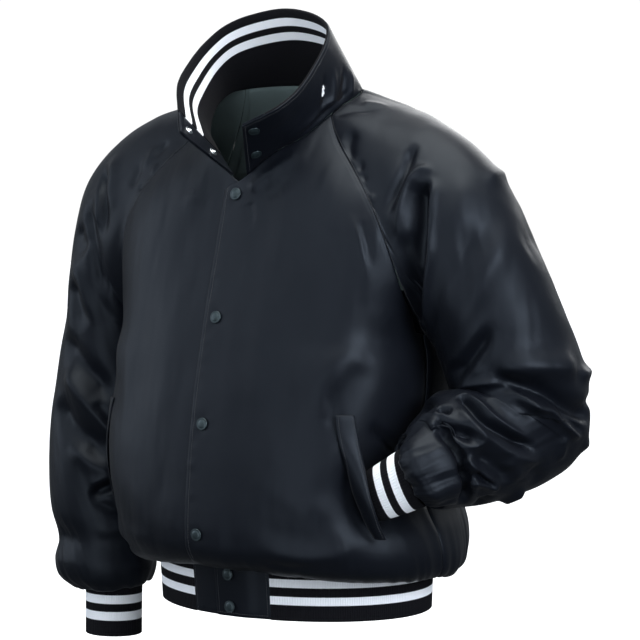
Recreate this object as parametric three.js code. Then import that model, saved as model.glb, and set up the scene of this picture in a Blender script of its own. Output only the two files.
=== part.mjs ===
// A satin warm-up jacket with raglan sleeves, snap front and striped rib trims, filled out as
// if worn, one arm straight and the other bent with its cuff in the front pocket.
// Millimetres, +Z up. The front faces -Y and the wearer's left is +X. The origin is the middle
// of the neck opening, where the wearer's neck and shoulders carry the jacket.
import * as THREE from 'three';

// Driving sizes
const SATIN_WALL = 1.2;
const RIB_WALL = 2.2;
const TRIM_WALL = 1.4;
const SEAM_GAP = 0.3;
const ARMHOLE_GAP = 0.4; // the sleeve's share of the gap along its curved seam
const LAP = 18; // how far each front runs past the centre line
const LAP_LIFT = 1.9; // the left front lies this far over the right one
const NECK_LIFT = 2; // and this much more by the neck
const NECK_DROP = 9; // fall of the neckline from the centre line to the lap edge
const HEM_TOP = -552;
const HEM_BOTTOM = -613;
const HEM_TAB = 57; // half length of the satin tab at the hem's centre front
const COLLAR_TAB = 15; // length of the satin tab at each collar end, as degrees of the loop
const COLLAR_END = 7; // the collar starts this many degrees from the centre line
const SNAP_RADIUS = 7.5;
const SNAP_HEIGHT = 2.4;
const FRONT_SNAPS = [-104, -249, -374, -505]; // heights on the centre line
const HEM_SNAPS = [-561, -601];
const COLLAR_SNAPS = { upper: 0.8, lower: 0.3 }; // share of the collar's height
const COLLAR_SNAP_AT = 14; // degrees round the neck

const COLOURS = {
  satin: 0x1f262c,
  rib: 0x101014,
  lining: 0x6f8a88,
  snap: 0x39494c,
  stud: 0xc8cccc,
};

// Neck seam by degrees round the neck: 0 is centre front, 180 centre back.
const NECK = [
  // degrees, x, y, z
  [0, 0, -100.5, -91],
  [7, 12, -99.5, -83],
  [18, 30, -94, -67],
  [30, 48, -86, -52],
  [50, 74, -65, -34],
  [70, 91, -31, -6],
  [92, 98, 7, 13],
  [118, 88, 32, 20],
  [147, 52, 47, 24],
  [180, 0, 51, 25],
];
// The collar's top edge on each side. The left end springs out further than the right.
const TOP_LEFT = [
  [0, 30, -159, -28],
  [7, 47, -158, -22],
  [20, 74, -155, -11],
  [34, 90, -142, 0],
  [50, 95, -112, 18],
  [70, 96, -80, 46],
  [92, 91, -47, 76],
  [118, 77, -24, 97],
  [147, 47, -10, 111],
  [180, 0, -5, 118],
];
const TOP_RIGHT = [
  [0, 34, -168, -38],
  [7, 47, -159, -31],
  [22, 70, -131, -8],
  [45, 88, -108, 26],
  [68, 95, -73, 55],
  [92, 91, -45, 79],
  [118, 77, -24, 98],
  [147, 47, -10, 111],
  [180, 0, -5, 118],
];
// Raglan seams from the neck to the underarm, and the height on the centre line of the same row.
const FRONT_RAGLAN = [
  // x, y, z, centre z
  [89, -36, -10, -91],
  [109, -50, -40, -106],
  [140, -64, -72, -126],
  [169, -75, -106, -149],
  [190, -77, -145, -176],
  [203, -68, -190, -207],
  [205, -42, -234, -240],
  [200, -1, -270, -270],
];
const BACK_RAGLAN = [
  [88, 32, 20, 25],
  [112, 58, -14, -10],
  [142, 82, -52, -50],
  [168, 96, -95, -95],
  [188, 98, -140, -140],
  [200, 86, -188, -188],
  [204, 48, -236, -232],
  [200, -1, -270, -270],
];
// Profiles of the centre front and the centre back above the underarm.
const CENTRE_FRONT = [
  // z, y
  [-77, -98],
  [-104, -103],
  [-180, -126],
  [-250, -146],
  [-300, -158],
];
const CENTRE_BACK = [
  [25, 51],
  [0, 76],
  [-50, 112],
  [-95, 134],
  [-140, 147],
  [-200, 153],
  [-300, 156],
];
// Body sections below the underarm, down to the hem seam. The sag lowers the sides and back.
const BODY = [
  // z, half width left, half width right, front y, back y, squareness, sag
  [-300, 205, 205, -158, 156, 3.1, 0],
  [-340, 205, 205, -167, 160, 3.0, 0],
  [-380, 201, 205, -174, 164, 3.1, 0],
  [-415, 198, 204, -179, 168, 3.2, 0],
  [-450, 198, 203, -182.5, 173, 3.1, 0],
  [-480, 208, 202, -185, 178, 2.8, 0],
  [-505, 221, 202, -185.5, 183, 2.5, 3],
  [-525, 226, 201, -182, 185, 2.3, 9],
  [-540, 221, 198, -170, 182, 2.2, 15],
  [-549, 205, 190, -148, 174, 2.1, 15],
  [HEM_TOP, 182, 186, -125, 164, 2.0, 0],
];
const HEM = [
  // z, half width, front y, back y
  [HEM_TOP, 182.5, -123, 161],
  [(HEM_TOP + HEM_BOTTOM) / 2, 181, -120, 160],
  [HEM_BOTTOM, 180, -117, 158],
];
const HEM_MIDDLE_X = -3;
const UPPER_ROWS = FRONT_RAGLAN.length;
const SIDE_COLUMNS = 11;

// Sleeve sections: outer point, inner point and half the width across.
const CAP = [
  [98, 7, 13, 200, -1, -270, 88],
  [150, 11, 0, 206, 2, -273, 85],
  [206, 15, -17, 210, 5, -278, 84],
  [253, 19, -43, 213, 9, -285, 83],
];
// How far each of a sleeve's first rings is drawn to the armhole's own loop, before and behind.
const ARMHOLE_PULL = [
  [1, 1],
  [0.55, 0.92],
  [0.25, 0.5],
  [0.08, 0.18],
];
const RIGHT_ARM = [
  // outer x, y, z, inner x, y, z, half width
  [290, 20, -80, 214, 12, -293, 84],
  [315, 22, -135, 215, 13, -303, 82],
  [331, 22, -200, 215, 12, -325, 80],
  [341, 19, -262, 215, 10, -355, 77],
  [352, 14, -330, 216, 6, -395, 75],
  [360, 8, -400, 218, 1, -440, 75],
  [361, 2, -465, 220, -3, -490, 74],
  [356, -2, -520, 221, -5, -528, 70],
  [346, -5, -556, 222, -8, -560, 60],
  [350, -6, -585, 217, -9, -588, 62],
  [342, -6, -607, 222, -9, -609, 54],
  [308, -6, -613, 232, -9, -614, 38],
];
const LEFT_ARM = [
  [288, 27, -80, 215, 13, -292, 84],
  [318, 35, -138, 217, 18, -305, 83],
  [344, 48, -203, 219, 23, -322, 82],
  [364, 65, -268, 224, 27, -340, 82],
  [374, 85, -326, 228, 18, -345, 81],
  [366, 101, -383, 230, -2, -342, 78],
  [345, 92, -425, 236, -24, -336, 75],
  [324, 60, -448, 242, -42, -336, 71],
  [309, 24, -458, 243, -58, -342, 66],
  [297, -16, -463, 236, -76, -352, 60],
  [286, -50, -463, 234, -85, -364, 52],
  [280, -78, -461.5, 237, -95, -377.5, 40],
  [262, -84.5, -460, 234, -94.5, -390.5, 26],
];
const RIGHT_CUFF = [
  [307, -6, -613.7, 233, -9, -614.7, 35],
  [307, -7, -645, 234, -8, -645, 35],
  [307, -8, -678, 234, -8, -678, 35],
];
const LEFT_CUFF = [
  [259, -88, -461, 232, -97, -393.5, 24],
  [230, -95.5, -473, 207, -104, -411, 19],
  [200, -102.5, -483, 182.5, -109, -427.5, 13],
];
// The left front gives way where the cuff goes into the pocket.
const DENT = { x: 189, y: -100, z: -456, depth: 17, across: 36, high: 46 };
// Open edge of each pocket welt, as a share of the body's half width.
const WELT_EDGE = [
  // z, share, width of the welt
  [-357, 0.878, 22],
  [-386, 0.908, 24],
  [-415, 0.935, 24],
  [-458, 0.948, 22],
  [-503, 0.93, 16],
];
const WELT_LIFT = { z: -456, by: 31, high: 48, x: 0.6, y: -0.8 }; // the left one stands over the cuff

const vector = (x, y, z) => new THREE.Vector3(x, y, z);
const radians = THREE.MathUtils.degToRad;

// Reads a table at a key by smooth curves through its rows; keys may rise or fall.
function readTable(table, key) {
  const rising = table[1][0] > table[0][0];
  let i = 0;
  while (i < table.length - 2 && (rising ? key > table[i + 1][0] : key < table[i + 1][0])) {
    i += 1;
  }
  const [a, b] = [table[i], table[i + 1]];
  const before = table[i - 1] ?? a;
  const after = table[i + 2] ?? b;
  const span = b[0] - a[0];
  const t = THREE.MathUtils.clamp((key - a[0]) / span, 0, 1);
  return a.slice(1).map((start, k) => {
    const end = b[k + 1];
    const startSlope = (span * (end - before[k + 1])) / (b[0] - before[0] || 1);
    const endSlope = (span * (after[k + 1] - start)) / (after[0] - a[0] || 1);
    const t2 = t * t;
    const t3 = t2 * t;
    return start * (2 * t3 - 3 * t2 + 1) + startSlope * (t3 - 2 * t2 + t)
      + end * (3 * t2 - 2 * t3) + endSlope * (t3 - t2);
  });
}

// A point of the neck seam, or of the collar `rise` of the way up; negative degrees are the right.
function collarPoint(degrees, rise) {
  const side = Math.sign(degrees) || 1;
  const [sx, sy, sz] = readTable(NECK, Math.abs(degrees));
  const [tx, ty, tz] = readTable(side > 0 ? TOP_LEFT : TOP_RIGHT, Math.abs(degrees));
  return vector(side * (sx + (tx - sx) * rise), sy + (ty - sy) * rise, sz + (tz - sz) * rise);
}

// One half of a body section: a superellipse from the centre line to the side or raglan seam.
function section(centreY, centreLineY, squareness, edgeX, edgeY) {
  const depth = centreLineY - centreY;
  const share = THREE.MathUtils.clamp((edgeY - centreY) / depth, 0, 1);
  const halfWidth = edgeX / (1 - share ** squareness) ** (1 / squareness);
  return { centreY, depth, squareness, halfWidth };
}

function sectionY({ centreY, depth, squareness, halfWidth }, x) {
  return centreY + depth * (1 - Math.min(Math.abs(x) / halfWidth, 1) ** squareness) ** (1 / squareness);
}

// The x places of a row's columns, close together where the section turns.
function columnX({ squareness, halfWidth }, startX, endX, count) {
  const angle = (x) => Math.asin(Math.min(x / halfWidth, 1) ** (squareness / 2));
  return Array.from({ length: count + 1 }, (_, j) => {
    const a = angle(startX) + ((angle(endX) - angle(startX)) * j) / count;
    return halfWidth * Math.sin(a) ** (2 / squareness);
  });
}

// Rows of a panel's half. Each holds its section, centre height, seam height and seam x.
function halfRows(raglan, profile, side) {
  const isFront = profile === CENTRE_FRONT;
  const upper = raglan.map(([x, y, z, centreZ], i) => {
    const lineY = readTable(profile, centreZ)[0];
    const squareness = 2 + i / (UPPER_ROWS - 1);
    return { shape: section(-1 + 4 * (1 - i / (UPPER_ROWS - 1)), lineY, squareness, x, y),
      centreZ, seamZ: z, seamX: x, upper: i, isFront };
  });
  const lower = BODY.map(([z, left, right, front, back, squareness, sag]) => {
    const seamX = side > 0 ? left : right;
    const centreY = (front + back) / 2;
    return { shape: section(centreY, isFront ? front : back, squareness, seamX, centreY),
      centreZ: isFront ? z : z - sag, seamZ: z - sag, seamX };
  });
  return [...upper, ...lower];
}

// A point of a row. The lap past the centre line drops at the neck, and points near the centre
// line that lie higher or lower than the row's own height keep to the centre profile.
function rowPoint(row, x) {
  const share = Math.max(x, 0) / row.seamX;
  const drop = x < 0 && row.upper < 4 ? NECK_DROP * (x / LAP) ** 2 * (1 - row.upper / 4) ** 2 : 0;
  const z = row.centreZ + (row.seamZ - row.centreZ) * share ** 1.4 - drop;
  const lineY = row.shape.centreY + row.shape.depth;
  const onProfile = row.isFront && row.centreZ >= CENTRE_FRONT.at(-1)[0]
    ? (readTable(CENTRE_FRONT, z)[0] - lineY) * (1 - THREE.MathUtils.smoothstep(share, 0.15, 0.5)) : 0;
  return vector(x, sectionY(row.shape, x) + onProfile, z);
}

// Moves a row's own neck points onto the neck seam, fading out over the rows below.
function pullToNeck(rows, degrees) {
  const moves = rows[0].map((p, j) => collarPoint(degrees[j], 0).sub(p));
  return rows.map((row, i) => row.map((p, j) => {
    const fade = i < 4 && degrees[j] !== null ? (1 - i / 4) ** 2 : 0;
    return p.clone().addScaledVector(moves[j], fade);
  }));
}

function frontGrid(side) {
  const rows = halfRows(FRONT_RAGLAN, CENTRE_FRONT, side);
  const neckDegrees = [];
  const grid = rows.map((row) => {
    const xs = [-LAP, -LAP / 2, 0, LAP / 2, ...columnX(row.shape, LAP, row.seamX, SIDE_COLUMNS)];
    return xs.map((x) => rowPoint(row, x));
  });
  grid[0].forEach((p) => neckDegrees.push(neckAngleAt(p.x)));
  const pulled = pullToNeck(grid, neckDegrees.map((d) => d ?? 0));
  const settled = grid.map((row, i) => row.map((p, j) => (neckDegrees[j] === null ? p : pulled[i][j])));
  const last = settled.length - 1;
  return settled.map((row, i) => row.map((p, j) => {
    const normal = gridNormal(settled, i, j, false).multiplyScalar(-1);
    const inLap = 1 - THREE.MathUtils.smoothstep(p.x, LAP + 4, LAP + 40);
    const underShare = Math.max(0, 1 - (last - i) / 3);
    const nearNeck = Math.max(0, 1 - Math.abs(i - 1) / 3);
    const lift = inLap * (side > 0 ? LAP_LIFT * (1 - underShare) + NECK_LIFT * nearNeck
      : -LAP_LIFT * underShare);
    const q = p.clone().addScaledVector(normal, lift);
    if (side > 0) {
      const near = Math.hypot(p.x - DENT.x, p.y - DENT.y) / DENT.across;
      const push = DENT.depth * Math.exp(-(near ** 2) - ((p.z - DENT.z) / DENT.high) ** 2);
      q.add(vector(-0.8 * push, 0.6 * push, 0));
    }
    return vector(side * q.x, q.y, q.z);
  }));
}

// Degrees round the neck seam at which its front half has this x, or null past the centre line.
function neckAngleAt(x) {
  if (x <= 0) {
    return x < 0 ? null : 0;
  }
  let [low, high] = [0, 67];
  for (let k = 0; k < 30; k += 1) {
    const middle = (low + high) / 2;
    if (collarPoint(middle, 0).x < x) {
      low = middle;
    } else {
      high = middle;
    }
  }
  return (low + high) / 2;
}

function backGrid() {
  const columns = SIDE_COLUMNS;
  const halves = [-1, 1].map((side) => halfRows(BACK_RAGLAN, CENTRE_BACK, side).map((row) => {
    const xs = columnX(row.shape, 0, row.seamX, columns);
    return xs.map((x) => {
      const p = rowPoint(row, x);
      return vector(side * p.x, p.y, p.z);
    });
  }));
  const grid = halves[0].map((row, i) => [...row.slice(1).reverse(), ...halves[1][i]]);
  const degrees = grid[0].map((p) => {
    const share = Math.abs(p.x) / grid[0].at(-1).x;
    return (Math.sign(p.x) || 1) * (180 - 62 * share);
  });
  return pullToNeck(grid, degrees);
}

// The unit normal of a point grid, along columns x rows.
function gridNormal(rows, i, j, ring) {
  const row = rows[i];
  const n = row.length;
  const left = ring ? row[(j + n - 1) % n] : row[Math.max(j - 1, 0)];
  const right = ring ? row[(j + 1) % n] : row[Math.min(j + 1, n - 1)];
  const above = rows[Math.max(i - 1, 0)][j];
  const below = rows[Math.min(i + 1, rows.length - 1)][j];
  return right.clone().sub(left).cross(below.clone().sub(above)).normalize();
}

// A closed cloth wall whose outer face is the point grid. `sign` turns the outside round, and
// `edge` may give the wall's direction at a seam that two pieces share.
function shell(rows, wall, { ring = false, sign = 1, edge = () => null } = {}) {
  const m = rows.length;
  const n = rows[0].length;
  const inner = rows.map((row, i) => row.map((p, j) => {
    const normal = edge(i, j) ?? gridNormal(rows, i, j, ring).multiplyScalar(sign);
    return p.clone().addScaledVector(normal, -wall);
  }));
  const position = [...rows, ...inner].flatMap((row) => row.flatMap((p) => p.toArray()));
  const index = [];
  const face = (a, b, c, d) => index.push(...(sign > 0 ? [a, b, c, a, c, d] : [a, c, b, a, d, c]));
  const at = (i, j, layer) => layer * m * n + i * n + (j % n);
  const last = ring ? n : n - 1;
  for (let j = 0; j < last; j += 1) {
    for (let i = 0; i < m - 1; i += 1) {
      face(at(i, j, 0), at(i, j + 1, 0), at(i + 1, j + 1, 0), at(i + 1, j, 0));
      face(at(i, j, 1), at(i + 1, j, 1), at(i + 1, j + 1, 1), at(i, j + 1, 1));
    }
    face(at(0, j + 1, 0), at(0, j, 0), at(0, j, 1), at(0, j + 1, 1));
    face(at(m - 1, j, 0), at(m - 1, j + 1, 0), at(m - 1, j + 1, 1), at(m - 1, j, 1));
  }
  for (let i = 0; i < m - 1 && !ring; i += 1) {
    face(at(i, 0, 0), at(i + 1, 0, 0), at(i + 1, 0, 1), at(i, 0, 1));
    face(at(i + 1, n - 1, 0), at(i, n - 1, 0), at(i, n - 1, 1), at(i + 1, n - 1, 1));
  }
  const geometry = new THREE.BufferGeometry();
  geometry.setAttribute('position', new THREE.Float32BufferAttribute(position, 3));
  geometry.setIndex(index);
  return geometry;
}

// Draws a grid's outside rows and columns in, by half the seam gap unless told otherwise.
function drawIn(rows, { top = true, bottom = true, start = true, end = true, half = SEAM_GAP / 2 } = {}) {
  const step = (p, q) => q.clone().sub(p).setLength(half).add(p);
  const out = rows.map((row) => row.map((p) => p.clone()));
  const last = rows.length - 1;
  const far = rows[0].length - 1;
  rows.forEach((row, i) => {
    if (start) out[i][0] = step(row[0], row[1]);
    if (end) out[i][far] = step(row[far], row[far - 1]);
  });
  rows[0].forEach((_, j) => {
    if (top) out[0][j].add(step(rows[0][j], rows[1][j]).sub(rows[0][j]));
    if (bottom) out[last][j].add(step(rows[last][j], rows[last - 1][j]).sub(rows[last][j]));
  });
  return out;
}

// A ring of a sleeve or cuff. Column 0 is the underarm and the columns run up the front.
function armRings(table, columns) {
  const middles = table.map((r) => vector((r[0] + r[3]) / 2, (r[1] + r[4]) / 2, (r[2] + r[5]) / 2));
  return table.map(([ox, oy, oz, ix, iy, iz, halfWidth], k) => {
    const along = middles[Math.min(k + 1, table.length - 1)].clone()
      .sub(middles[Math.max(k - 1, 0)]);
    const across = vector(ox - ix, oy - iy, oz - iz);
    const front = along.cross(across).normalize();
    return Array.from({ length: columns }, (_, j) => {
      const turn = (2 * Math.PI * j) / columns;
      return middles[k].clone()
        .addScaledVector(across, -Math.cos(turn) / 2)
        .addScaledVector(front, halfWidth * Math.sin(turn));
    });
  });
}

const mirrored = (rows) => rows.map((row) => row.map((p) => vector(-p.x, p.y, p.z)));
const NECK_SPLIT = 2; // sleeve columns between the two raglan seams at the neck
const SLEEVE_COLUMNS = 2 * UPPER_ROWS - 1 + NECK_SPLIT;

// The armhole and neck loop of a sleeve, from the underarm up the front and down the back.
function sleeveLoop(front, back) {
  const loop = [];
  for (let i = UPPER_ROWS - 1; i >= 0; i -= 1) {
    loop.push(front[i]);
  }
  for (let k = 1; k <= NECK_SPLIT; k += 1) {
    loop.push(collarPoint(67 + ((118 - 67) * k) / (NECK_SPLIT + 1), 0));
  }
  for (let i = 0; i < UPPER_ROWS - 1; i += 1) {
    loop.push(back[i]);
  }
  return loop;
}

function sleeveGrid(side, arm) {
  const seamOf = (grid, column) => grid.slice(0, UPPER_ROWS)
    .map((row) => vector(Math.abs(row[column].x), row[column].y, row[column].z));
  const frontPanel = frontGrid(side);
  const backPanel = backGrid();
  const loop = sleeveLoop(seamOf(frontPanel, frontPanel[0].length - 1),
    seamOf(backPanel, side > 0 ? backPanel[0].length - 1 : 0));
  const rings = armRings([...CAP, ...arm], SLEEVE_COLUMNS);
  const first = rings[0].map((p) => p.clone());
  const placed = rings.map((ring, k) => ring.map((p, j) => {
    const [front, back] = ARMHOLE_PULL[k] ?? [0, 0];
    const behind = THREE.MathUtils.clamp(-1.4 * Math.sin((2 * Math.PI * j) / SLEEVE_COLUMNS), 0, 1);
    return p.clone().addScaledVector(loop[j].clone().sub(first[j]), front + (back - front) * behind);
  }));
  return side > 0 ? placed : mirrored(placed);
}

// The wall direction at each seam point of a sleeve's top edge, halfway between the sleeve and
// the panel that it meets, so that both walls stop at the same plane.
function seamDirections(side) {
  const front = frontGrid(side);
  const back = backGrid();
  const sleeve = sleeveGrid(side, side > 0 ? LEFT_ARM : RIGHT_ARM);
  const backColumn = side > 0 ? back[0].length - 1 : 0;
  const frontColumn = front[0].length - 1;
  const panelNormal = (j) => {
    if (j < UPPER_ROWS) {
      return gridNormal(front, UPPER_ROWS - 1 - j, frontColumn, false).multiplyScalar(-side);
    }
    if (j < UPPER_ROWS + NECK_SPLIT) {
      return vector(side * 0.4, 0, 0.9).normalize();
    }
    return gridNormal(back, j - UPPER_ROWS - NECK_SPLIT, backColumn, false);
  };
  return sleeve[0].map((_, j) => gridNormal(sleeve, 0, j, true).multiplyScalar(-side)
    .add(panelNormal(j)).normalize());
}

const jacket = new THREE.Group();

function addNode(name, geometry, colour, roughness = 0.4, metalness = 0) {
  const material = new THREE.MeshStandardMaterial({ color: colour, roughness, metalness });
  const mesh = new THREE.Mesh(geometry, material);
  mesh.name = name;
  jacket.add(mesh);
}

function addFront(name, side) {
  const directions = seamDirections(side);
  const grid = drawIn(frontGrid(side), { start: false });
  const far = grid[0].length - 1;
  const edge = (i, j) => (j === far && i < UPPER_ROWS ? directions[UPPER_ROWS - 1 - i] : null);
  addNode(name, shell(grid, SATIN_WALL, { sign: -side, edge }), COLOURS.satin);
}

function addBack() {
  const [left, right] = [seamDirections(1), seamDirections(-1)];
  const grid = drawIn(backGrid());
  const far = grid[0].length - 1;
  const direction = (list, i) => (i < UPPER_ROWS - 1 ? list[UPPER_ROWS + NECK_SPLIT + i] : list[0]);
  const edge = (i, j) => {
    if (i >= UPPER_ROWS || (j !== far && j !== 0)) {
      return null;
    }
    return direction(j === far ? left : right, i);
  };
  addNode('back', shell(grid, SATIN_WALL, { sign: 1, edge }), COLOURS.satin);
}

function addSleeve(name, side, arm) {
  const directions = seamDirections(side);
  const grid = drawIn(sleeveGrid(side, arm), { start: false, end: false, half: ARMHOLE_GAP });
  const edge = (i, j) => (i === 0 ? directions[j] : null);
  addNode(name, shell(grid, SATIN_WALL, { ring: true, sign: -side, edge }), COLOURS.satin);
}

function addCuff(name, side, table) {
  const rings = armRings(table, SLEEVE_COLUMNS);
  const grid = side > 0 ? rings : mirrored(rings);
  addNode(name, shell(grid, RIB_WALL, { ring: true, sign: -side }), COLOURS.rib, 0.9);
}

// The collar's outer face from one end round the back to the other, `out` clear of the loop.
function collarGrid(from, to, columns, inward) {
  const rises = [1, 0.75, 0.5, 0.25, 0.006];
  const rows = rises.map((rise) => Array.from({ length: columns + 1 }, (_, j) => {
    const degrees = from + ((to - from) * j) / columns;
    return collarPoint(degrees > 180 ? degrees - 360 : degrees, rise);
  }));
  return rows.map((row, i) => row.map((p, j) => p.clone()
    .addScaledVector(gridNormal(rows, i, j, false), inward)));
}

function addCollar() {
  const outer = collarGrid(COLLAR_END, 360 - COLLAR_END, 30, 0);
  addNode('collar_outer', shell(outer, SATIN_WALL, { sign: -1 }), COLOURS.satin);
  const inward = SATIN_WALL + 4 * SEAM_GAP;
  const ribEnd = COLLAR_END + COLLAR_TAB;
  const clear = 0.4;
  const rib = drawIn(collarGrid(ribEnd + clear, 360 - ribEnd - clear, 28, inward), { top: false, bottom: false });
  addNode('collar_rib', shell(rib, RIB_WALL, { sign: -1 }), COLOURS.rib, 0.9);
  const left = drawIn(collarGrid(COLLAR_END, ribEnd - clear, 2, inward), { top: false, bottom: false });
  addNode('collar_tab_left', shell(left, TRIM_WALL, { sign: -1 }), COLOURS.satin);
  const right = drawIn(collarGrid(360 - ribEnd + clear, 360 - COLLAR_END, 2, inward), { top: false, bottom: false });
  addNode('collar_tab_right', shell(right, TRIM_WALL, { sign: -1 }), COLOURS.satin);
}

// The hem from one angle round to another, in degrees from the centre front towards the left.
function hemGrid(from, to, columns, liftOf) {
  return HEM.map(([z, halfWidth, front, back]) => Array.from({ length: columns + 1 }, (_, j) => {
    const degrees = from + ((to - from) * j) / columns;
    const turn = radians(degrees);
    const lift = liftOf(degrees);
    return vector(HEM_MIDDLE_X + (halfWidth + lift) * Math.sin(turn),
      (front + back) / 2 - ((back - front) / 2 + lift) * Math.cos(turn), z);
  }));
}

function addHem() {
  const tabEnd = THREE.MathUtils.radToDeg(Math.asin(HEM_TAB / HEM[0][1]));
  const lapEnd = THREE.MathUtils.radToDeg(Math.asin(LAP / HEM[0][1]));
  const over = (degrees) => (TRIM_WALL + 2 * SEAM_GAP) * (1 - THREE.MathUtils.smoothstep(degrees, 8, 14));
  const rib = drawIn(hemGrid(tabEnd, 360 - tabEnd, 40, () => 0));
  addNode('hem_rib', shell(rib, RIB_WALL, { sign: -1 }), COLOURS.rib, 0.9);
  const left = drawIn(hemGrid(-lapEnd, tabEnd, 6, over));
  addNode('hem_tab_left', shell(left, TRIM_WALL, { sign: -1 }), COLOURS.satin);
  const right = drawIn(hemGrid(-tabEnd, lapEnd, 6, () => 0));
  addNode('hem_tab_right', shell(right, TRIM_WALL, { sign: -1 }), COLOURS.satin);
}

// The section of a front's lower part at a height.
function frontSection(side, z) {
  const [left, right, front, back, squareness] = readTable(BODY, z);
  const centreY = (front + back) / 2;
  return section(centreY, front, squareness, side > 0 ? left : right, centreY);
}

// The x at a distance round the section from a starting x, towards the centre line.
function xAlong(shape, startX, distance) {
  const startY = sectionY(shape, startX);
  let [low, high] = [0, startX];
  for (let k = 0; k < 30; k += 1) {
    const middle = (low + high) / 2;
    if (Math.hypot(startX - middle, startY - sectionY(shape, middle)) > distance) {
      low = middle;
    } else {
      high = middle;
    }
  }
  return (low + high) / 2;
}

function weltGrid(side) {
  const rows = [];
  const count = 10;
  const [top, bottom] = [WELT_EDGE[0][0], WELT_EDGE.at(-1)[0]];
  for (let i = 0; i <= count; i += 1) {
    const z = top + ((bottom - top) * i) / count;
    const shape = frontSection(side, z);
    const [edgeShare, width] = readTable(WELT_EDGE, z);
    const edgeX = edgeShare * shape.halfWidth;
    const lift = side > 0 ? WELT_LIFT.by * Math.exp(-(((z - WELT_LIFT.z) / WELT_LIFT.high) ** 2)) : 0;
    rows.push([1, 0.5, 0].map((share) => {
      const x = xAlong(shape, edgeX, share * width);
      const slope = sectionY(shape, x + 0.5) - sectionY(shape, x - 0.5);
      const outward = vector(slope, -1, 0).normalize();
      const raised = lift * (1 - share ** 2);
      return vector(x, sectionY(shape, x), z).addScaledVector(outward, TRIM_WALL + 1.6)
        .add(vector(WELT_LIFT.x * raised, WELT_LIFT.y * raised, 0));
    }));
  }
  return rows.map((row) => row.map((p) => vector(side * p.x, p.y, p.z)));
}

function addWelt(name, side) {
  addNode(name, shell(weltGrid(side), TRIM_WALL, { sign: -side }), COLOURS.satin);
}

function addLining() {
  const grid = backGrid();
  const inside = grid.slice(0, 4).map((row, i) => row.slice(1, -1).map((p, j) => p.clone()
    .addScaledVector(gridNormal(grid, i, j + 1, false), -SATIN_WALL - 2 * SEAM_GAP)));
  const rows = drawIn(inside, { bottom: false });
  addNode('neck_lining', shell(rows, SATIN_WALL, { sign: 1 }), COLOURS.lining);
}

// A domed press-stud cap on its axis, its flat face at the given place.
function addCap(name, place, outward, radius, colour) {
  const profile = [[0, 0], [radius, 0], [radius, 0.5], [radius * 0.86, 0.9], [0, 1]];
  const points = profile.map(([r, h]) => new THREE.Vector2(r, h * SNAP_HEIGHT));
  points[1].y = 0;
  const cap = new THREE.LatheGeometry(points, 14);
  const turn = new THREE.Quaternion().setFromUnitVectors(vector(0, 1, 0), outward);
  cap.applyQuaternion(turn);
  cap.translate(...place.clone().addScaledVector(outward, SEAM_GAP).toArray());
  addNode(name, cap, colour, 0.3, 0.8);
}

function addSnaps() {
  FRONT_SNAPS.forEach((z, k) => {
    const profile = z > -300 ? CENTRE_FRONT : BODY.map((r) => [r[0], r[3]]);
    const y = readTable(profile, z)[0];
    const slope = (readTable(profile, z + 4)[0] - readTable(profile, z - 4)[0]) / 8;
    const outward = vector(0, -1, slope).normalize();
    const lift = LAP_LIFT + (k === 0 ? NECK_LIFT + 0.5 : 0.2);
    addCap(`snap_front_${k + 1}`, vector(0, y - lift, z), outward, SNAP_RADIUS, COLOURS.snap);
  });
  HEM_SNAPS.forEach((z, k) => {
    const y = readTable(HEM, z)[1] - TRIM_WALL - 2 * SEAM_GAP;
    addCap(`snap_hem_${k + 1}`, vector(0, y - 0.7, z), vector(0, -1, 0), SNAP_RADIUS, COLOURS.snap);
  });
  Object.entries(COLLAR_SNAPS).forEach(([level, rise]) => {
    [1, -1].forEach((side) => {
      const degrees = side * COLLAR_SNAP_AT;
      const across = collarPoint(degrees + 1, rise).sub(collarPoint(degrees - 1, rise));
      const up = collarPoint(degrees, rise + 0.05).sub(collarPoint(degrees, rise - 0.05));
      const outward = across.cross(up).normalize();
      const inside = SATIN_WALL + SEAM_GAP + 0.2 + TRIM_WALL;
      if (side > 0) {
        addCap(`collar_cap_${level}`, collarPoint(degrees, rise).addScaledVector(outward, 0.4),
          outward, SNAP_RADIUS * 0.9, COLOURS.snap);
      } else {
        addCap(`collar_stud_${level}`, collarPoint(degrees, rise).addScaledVector(outward, -inside - 0.9),
          outward.clone().negate(), SNAP_RADIUS * 0.75, COLOURS.stud);
      }
    });
  });
}

addFront('front_left', 1);
addFront('front_right', -1);
addBack();
addSleeve('sleeve_left', 1, LEFT_ARM);
addSleeve('sleeve_right', -1, RIGHT_ARM);
addCuff('cuff_left', 1, LEFT_CUFF);
addCuff('cuff_right', -1, RIGHT_CUFF);
addCollar();
addHem();
addWelt('pocket_welt_left', 1);
addWelt('pocket_welt_right', -1);
addLining();
addSnaps();

export default jacket;
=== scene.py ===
# A black satin warm-up jacket with raglan sleeves, a snap front and striped rib trims, worn by
# nobody: right arm hanging, left cuff in the front pocket. Tables and sizes are in millimetres,
# and every mesh is made in metres. The front faces -Y and the wearer's left is +X.
import math

import bpy
import numpy as np
from bpy.props import FloatProperty, FloatVectorProperty, PointerProperty
from mathutils import Matrix, Vector


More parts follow.
